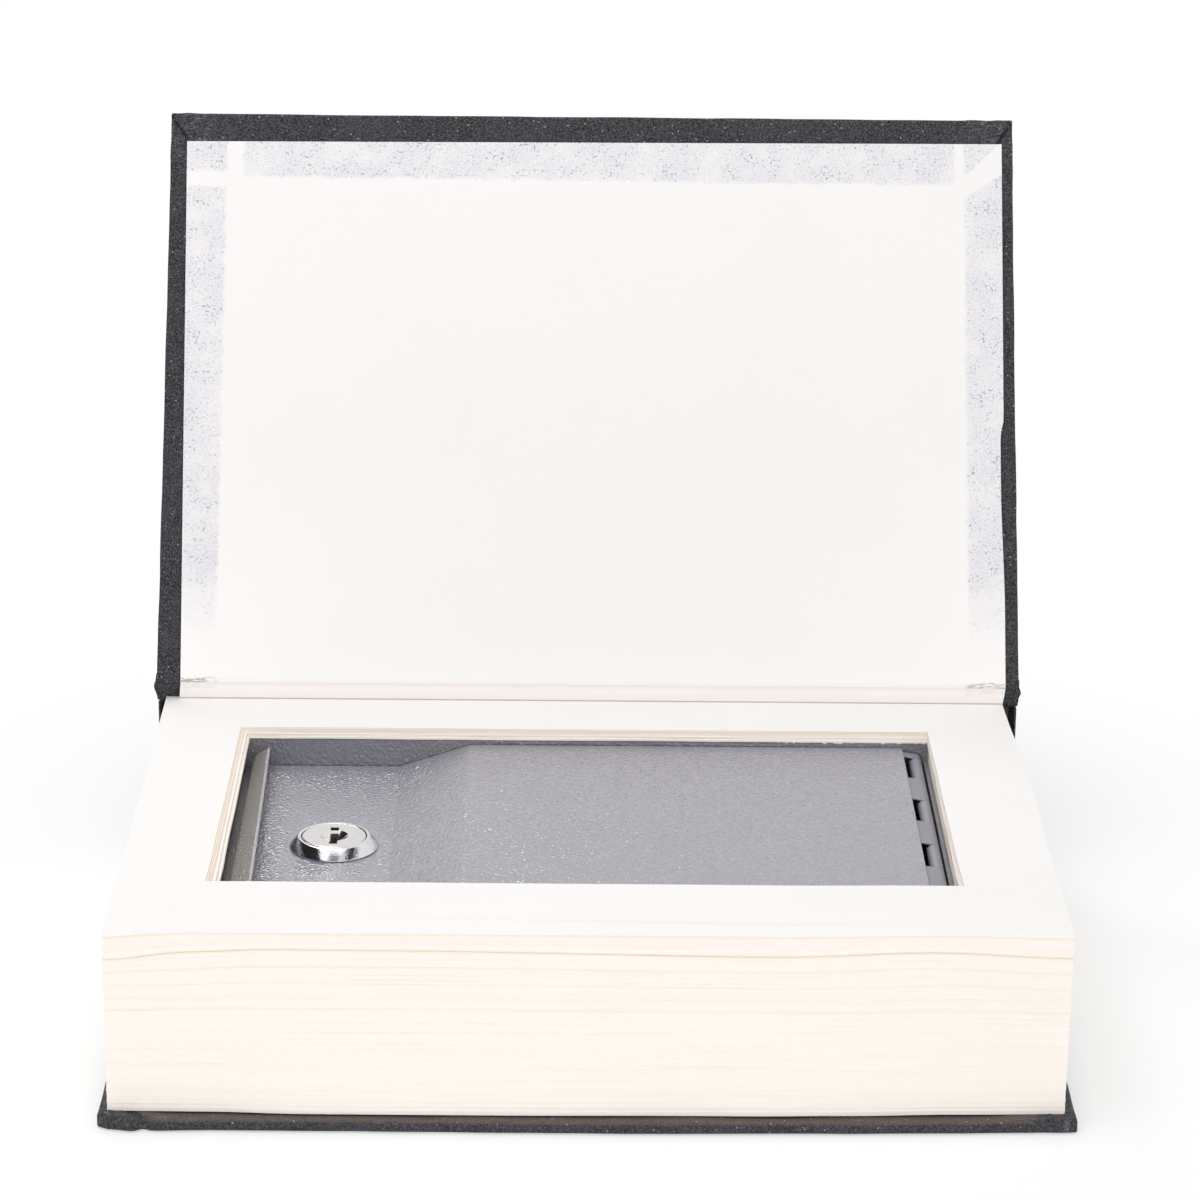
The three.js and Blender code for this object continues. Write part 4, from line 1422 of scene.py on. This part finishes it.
def rolled_tab(bm, start, rise, y0, y1, turn):
    """A hinge tab: flat from a leaf to the pin, then rolled round it."""
    edge = bm.edges.new([bm.verts.new((start.x, y, start.z)) for y in (y0, y1)])
    made = bmesh.ops.extrude_edge_only(bm, edges=[edge])
    ends = points_of(made)
    bmesh.ops.translate(bm, verts=ends, vec=rise)
    last = [
        part for part in made["geom"]
        if isinstance(part, bmesh.types.BMEdge) and all(vert in ends for vert in part.verts)
    ]
    bmesh.ops.spin(
        bm, geom=last + ends, cent=PIN, axis=(0, 1, 0), angle=turn, steps=ROLL_STEPS,
        use_merge=False, use_duplicate=False,
    )


def hinge_leaf(name, node, on_lid, plate, start, rise, turn, outward):
    """One leaf of the hinge with its rolled knuckles."""
    bm = bmesh.new()
    low, high = box(node)
    y = LID_HIGH.y
    index = 0
    while y > LID_LOW.y + 0.5:
        end = max(y - (FIRST_KNUCKLE if index == 0 else KNUCKLE_LENGTH), LID_LOW.y)
        if (index % 2 == 0) == on_lid:
            rolled_tab(bm, start, rise, end + KNUCKLE_GAP / 2, y - KNUCKLE_GAP / 2, turn)
        y = end
        index += 1
    corners = [bm.verts.new((x, y_end, z)) for y_end in (low.y, high.y) for x, z in plate]
    bm.faces.new((corners[0], corners[1], corners[3], corners[2]))
    bmesh.ops.remove_doubles(bm, verts=bm.verts, dist=1e-4)
    bmesh.ops.recalc_face_normals(bm, faces=bm.faces)
    for island in islands(bm):
        flat = max(island, key=lambda face: face.calc_area())
        if flat.normal.dot(outward) < 0:
            bmesh.ops.reverse_faces(bm, faces=island)
    body = "box_lid" if on_lid else "root"
    piece(name, bm, "hinge_paint", body, (node,), wall=HINGE_SHEET, edge=0.08, sharp=50)


def islands(bm):
    """The mesh's faces, sorted into joined groups."""
    left = set(bm.faces)
    while left:
        group = set()
        front = [left.pop()]
        while front:
            face = front.pop()
            group.add(face)
            near = {other for edge in face.edges for other in edge.link_faces} & left
            left -= near
            front.extend(near)
        yield list(group)


class BOOKSAFE_OT_hinge(Operator):
    """Roll the knuckles of both hinge leaves round the pin"""

    bl_idname = "booksafe.hinge"
    bl_label = "Hinge"

    def execute(self, context):
        slot_x = LID_HIGH.x - SLOT_BACK
        slot_z = PIN.z - KNUCKLE_RADIUS - SLOT_DROP
        top = box("hinge_lid_leaf")[1].z
        side = box("hinge_body_leaf")[1].x
        hinge_leaf(
            "hinge_leaf_lid", "hinge_lid_leaf", True,
            ((PIN.x - HINGE_REACH, top), (slot_x, top)),
            Vector((slot_x, 0, top)), Vector((PIN.x - slot_x, 0, PIN.z + KNUCKLE_RADIUS - top)),
            ROLL, Vector((0, 0, 1)),
        )
        hinge_leaf(
            "hinge_leaf_body", "hinge_body_leaf", False,
            ((side, PIN.z - HINGE_REACH), (side, slot_z)),
            Vector((side, 0, slot_z)), Vector((PIN.x + KNUCKLE_RADIUS - side, 0, PIN.z - slot_z)),
            -ROLL, Vector((1, 0, 0)),
        )
        dress(("hinge_pin",), "pin_steel")
        return {"FINISHED"}


def turned(bm, profile, steps, closed):
    """Turns a profile of (radius, height) points about the lock's axis."""
    verts = [bm.verts.new((LOCK.x + r, LOCK.y, LOCK.z + h)) for r, h in profile]
    after = verts[1:] + verts[:1] if closed else verts[1:]
    edges = [bm.edges.new(pair) for pair in zip(verts, after)]
    bmesh.ops.spin(
        bm, geom=verts + edges, cent=LOCK, axis=(0, 0, 1), angle=2 * math.pi, steps=steps,
        use_merge=True, use_duplicate=False,
    )
    bmesh.ops.remove_doubles(bm, verts=bm.verts, dist=1e-4)


def lock_bezel(rim):
    """The bezel with its rounded rim, and the threaded barrel under it."""
    thread = []
    level = BARREL_END + 0.6
    while level < -6.0:
        thread += [(BARREL_RADIUS - 0.38, level), (BARREL_RADIUS, level + 0.5)]
        level += 1.0
    bore, edge, face = 6.2, 9.55, BEZEL_FACE
    bm = bmesh.new()
    turned(bm, (
        (bore, BARREL_END), (BARREL_RADIUS - 0.3, BARREL_END), *thread, (BARREL_RADIUS, -5.6),
        (BARREL_RADIUS, 0.1), (11.5, 0.1), (11.6, 0.2), (11.6, 0.42), (11.5, 0.6),
        (edge + rim * 0.4, face - rim), (edge - rim * 0.3, face - rim * 0.25), (edge - rim, face),
        (8.75, face), (8.62, face - 0.08), (8.55, face - 0.22), (8.55, 1.3), (bore, 1.3),
    ), BEZEL_STEPS, True)
    bmesh.ops.recalc_face_normals(bm, faces=bm.faces)
    return bm


def draw_down(bm, edges, height):
    """Draws edges straight down to a height from the lock's panel."""
    for vert in points_of(bmesh.ops.extrude_edge_only(bm, edges=edges)):
        vert.co.z = LOCK.z + height


def boundary(bm):
    return [edge for edge in bm.edges if edge.is_boundary]


def lock_cylinder(funnel):
    """The plug: a flat face with a funnel, the keyway with its guide, and a hollow shank."""
    flat = (0.0, 0.6, 1.2, 1.8, 2.4, 3.0, funnel, 4.4, 5.4, 7.0, 8.05)
    profile = [(radius, BEZEL_FACE) for radius in flat]
    profile += [(8.25, BEZEL_FACE - 0.08), (8.35, BEZEL_FACE - 0.25), (8.35, 1.5), (6.0, 1.5)]
    profile += [(6.0, BARREL_END - 0.3), (3.0, BARREL_END - 0.3)]
    bm = bmesh.new()
    turned(bm, profile, PLUG_STEPS, False)
    half_wide, half_long = KEYWAY_HALF
    on_face = BEZEL_FACE - 0.1
    cut(bm, 0, (LOCK.x - half_wide, LOCK.x + half_wide))
    cut(bm, 1, (LOCK.y - half_long, LOCK.y + half_long))
    slot = faces_over_lock(bm, half_wide, half_long, on_face)
    bmesh.ops.delete(bm, geom=slot, context="FACES")
    for vert in bm.verts:
        reach = math.hypot(vert.co.x - LOCK.x, vert.co.y - LOCK.y)
        if reach < funnel and vert.co.z > LOCK.z + on_face:
            vert.co.z -= (1 - reach / funnel) * FUNNEL_DEPTH
    draw_down(bm, [edge for edge in boundary(bm) if edge.verts[0].co.z > LOCK.z + 1], KEYWAY_FLOOR)
    floor = [edge for edge in boundary(bm) if abs(edge.verts[0].co.z - LOCK.z - KEYWAY_FLOOR) < 0.01]
    bmesh.ops.holes_fill(bm, edges=floor)
    draw_down(bm, boundary(bm), PLUG_END)
    bmesh.ops.holes_fill(bm, edges=boundary(bm))
    low = LOCK + Vector((-half_wide, 2.4, BEZEL_FACE - 6.5))
    high = LOCK + Vector((half_wide, half_long - 1.1, BEZEL_FACE - 0.5))
    block_at(bm, low, high)
    bmesh.ops.recalc_face_normals(bm, faces=bm.faces)
    return bm


class BOOKSAFE_OT_lock(Operator):
    """Turn the bezel with its threaded barrel, and the plug with funnel and keyway"""

    bl_idname = "booksafe.lock"
    bl_label = "Cam lock"

    def execute(self, context):
        lock = context.scene.cam_lock
        bezel = lock_bezel(lock.rim / MM)
        piece("lock_bezel", bezel, "chrome_plate", "box_lid", ("lock_housing",), sharp=28)
        cylinder = lock_cylinder(lock.funnel / MM)
        piece("lock_cylinder", cylinder, "plug_chrome", "lock_plug", ("lock_plug",), sharp=20)
        wafers = sorted(name for name in frame["nodes"] if name.startswith("lock_wafer_"))
        dress(wafers, "wafer_brass")
        return {"FINISHED"}


class BOOKSAFE_OT_fittings(Operator):
    """Finish the steel box and the fittings inside it"""

    bl_idname = "booksafe.fittings"
    bl_label = "Box and fittings"

    def execute(self, context):
        dress(("box_body",), "body_paint")
        dress(
            ("lock_washer", "lock_nut", "lock_cam", "cam_washer", "cam_screw", "strike_bracket"),
            "zinc_plate",
        )
        return {"FINISHED"}


# The stage: lamps with their size in metres, place and target, cards with their corners, the camera
WHITE = (1, 1, 1)
LAMPS = (
    ("key", (1.1, 0.9), (-260, -420, 1150), (0, 0, 50)),
    ("fill", (1.4, 0.8), (150, -1350, 420), (0, 0, 60)),
    ("back", (0.22, 0.12), (-240, 620, 760), (-30, 0, 40)),
)
CARDS = (
    ("card_left", ((-393, -1000, 640), (-1100, -1000, 60), (-1100, 1000, 60), (-393, 1000, 640)), 0.03, 0),
    ("card_above", ((-240, -800, 640), (110, -800, 640), (110, -350, 640), (-240, -350, 640)), 0.3, 0),
    ("card_right", ((290, -600, 640), (613, -600, 640), (613, 0, 640), (290, 0, 640)), 0.03, 0),
    ("card_glow", ((-315, 400, 959), (-75, 400, 959), (-75, 600, 841), (-315, 600, 841)), 1.0, 12),
)
FLOOR_HALF = 3000
FLOOR_DROP = 0.4
SENSOR_WIDTH = 36
LENS_LENGTH = 127.88
CAMERA_PLACE = (-6.31, -1033.3, 464.1)
CAMERA_ANGLES = (0.4817, 19.0409, 0.619)


def lamp(name, power, size, place, target):
    """A large soft light that looks at a place, in millimetres."""
    light = bpy.data.lights.new(name, "AREA")
    light.shape = "RECTANGLE"
    light.size, light.size_y = size
    light.energy = power
    thing = bpy.data.objects.new(name, light)
    bpy.context.scene.collection.objects.link(thing)
    place = Vector(place) * MM
    thing.location = place
    thing.rotation_euler = (Vector(target) * MM - place).to_track_quat("-Z", "Y").to_euler()


def white_to_lens(recipe, shaded, white):
    """What the lens, reflections and refractions see as white, and all else as shaded."""
    camera, glossy, through = (
        recipe.node("ShaderNodeLightPath", {}, {}, f"Is {kind} Ray")
        for kind in ("Camera", "Glossy", "Transmission")
    )
    return recipe.blend(camera.top(glossy).top(through), shaded, white)


def card(name, corners, tone, glow=0.0):
    """A flat card that only reflections see, so that metal and gloss have something to show."""
    made = Recipe(name)
    colour = (tone, tone, tone)
    if glow:
        surface = made.light("ShaderNodeEmission", colour, glow)
    else:
        surface = made.node("ShaderNodeBsdfDiffuse", {}, {"Color": full(colour)})
    bm = bmesh.new()
    bm.faces.new([bm.verts.new(corner) for corner in corners])
    thing = added(name, bm, made.node_out(surface))
    for kind in ("camera", "diffuse", "transmission", "volume_scatter", "shadow"):
        setattr(thing, f"visible_{kind}", False)


def daylight(strength):
    """An even light all round, which the lens and reflections see as white."""
    made = Recipe("Soft daylight", "World")
    even = made.light("ShaderNodeBackground", WHITE, strength)
    white = made.light("ShaderNodeBackground", WHITE)
    return made.node_out(white_to_lens(made, even, white))


def pale_floor():
    """A floor just under the book that keeps a pale shadow and turns white far from it."""
    made = Recipe("Pale floor")
    where = made.place()
    colour = made.mix(made.cloud(where, 0.2), (0.97, 0.97, 0.97), (0.985, 0.985, 0.985))
    cloth = made.node("ShaderNodeBsdfDiffuse", {}, {"Color": colour})
    white = made.light("ShaderNodeEmission", WHITE)
    pale = 0.5 + made.vector("LENGTH", where).step(130, 300) * 0.5
    made.node_out(white_to_lens(made, cloth, made.blend(pale, cloth, white)))
    bm = bmesh.new()
    bmesh.ops.create_grid(bm, x_segments=1, y_segments=1, size=FLOOR_HALF)
    bmesh.ops.translate(bm, verts=bm.verts, vec=(0, 0, -FLOOR_DROP))
    added("floor", bm, made.owner)


def photo_camera():
    """The camera that the photo was fitted to."""
    lens = bpy.data.cameras.new("camera")
    lens.sensor_width = SENSOR_WIDTH
    lens.lens = LENS_LENGTH
    lens.clip_end = 20
    thing = bpy.data.objects.new("camera", lens)
    yaw, pitch, roll = (math.radians(angle) for angle in CAMERA_ANGLES)
    thing.matrix_world = (
        Matrix.Translation(Vector(CAMERA_PLACE) * MM)
        @ Matrix.Rotation(-yaw, 4, "Z")
        @ Matrix.Rotation(math.pi / 2 - pitch, 4, "X")
        @ Matrix.Rotation(roll, 4, "Z")
    )
    bpy.context.scene.collection.objects.link(thing)
    return thing


class BOOKSAFE_OT_stage(Operator):
    """Set the pale floor, the soft light and the camera"""

    bl_idname = "booksafe.stage"
    bl_label = "Stage"

    def execute(self, context):
        scene = context.scene
        stage = scene.studio_stage
        scene.view_settings.view_transform = "Standard"
        scene.world = daylight(stage.ambient)
        pale_floor()
        for name, size, place, target in LAMPS:
            lamp(name, getattr(stage, name), size, place, target)
        for name, corners, tone, glow in CARDS:
            card(name, corners, tone, glow)
        scene.camera = photo_camera()
        return {"FINISHED"}


OPERATORS = (
    BOOKSAFE_OT_stage,
    BOOKSAFE_OT_covers,
    BOOKSAFE_OT_endpapers,
    BOOKSAFE_OT_spine,
    BOOKSAFE_OT_pages,
    BOOKSAFE_OT_fittings,
    BOOKSAFE_OT_lid,
    BOOKSAFE_OT_hinge,
    BOOKSAFE_OT_lock,
)
SETTINGS = {
    "book_case": BookCase,
    "book_pages": BookPages,
    "steel_box": SteelBox,
    "cam_lock": CamLock,
    "studio_stage": StudioStage,
}


class BOOKSAFE_PT_panel(Panel):
    """Lists the pieces and their settings"""

    bl_label = "Book Safe"
    bl_idname = "BOOKSAFE_PT_panel"
    bl_space_type = "VIEW_3D"
    bl_region_type = "UI"
    bl_category = "Book Safe"

    def draw(self, context):
        for name, group in SETTINGS.items():
            column = self.layout.column(align=True)
            for key in group.__annotations__:
                column.prop(getattr(context.scene, name), key)
        for operator in OPERATORS:
            self.layout.operator(operator.bl_idname)


def register():
    for group in (*SETTINGS.values(), *OPERATORS, BOOKSAFE_PT_panel):
        bpy.utils.register_class(group)
    for name, group in SETTINGS.items():
        setattr(bpy.types.Scene, name, PointerProperty(type=group))


def unregister():
    for name in SETTINGS:
        delattr(bpy.types.Scene, name)
    for group in (BOOKSAFE_PT_panel, *reversed(OPERATORS), *SETTINGS.values()):
        bpy.utils.unregister_class(group)


def main():
    """Makes every piece in order."""
    register()
    for operator in OPERATORS:
        family, action = operator.bl_idname.split(".")
        getattr(getattr(bpy.ops, family), action)()


if __name__ == "__main__":
    main()
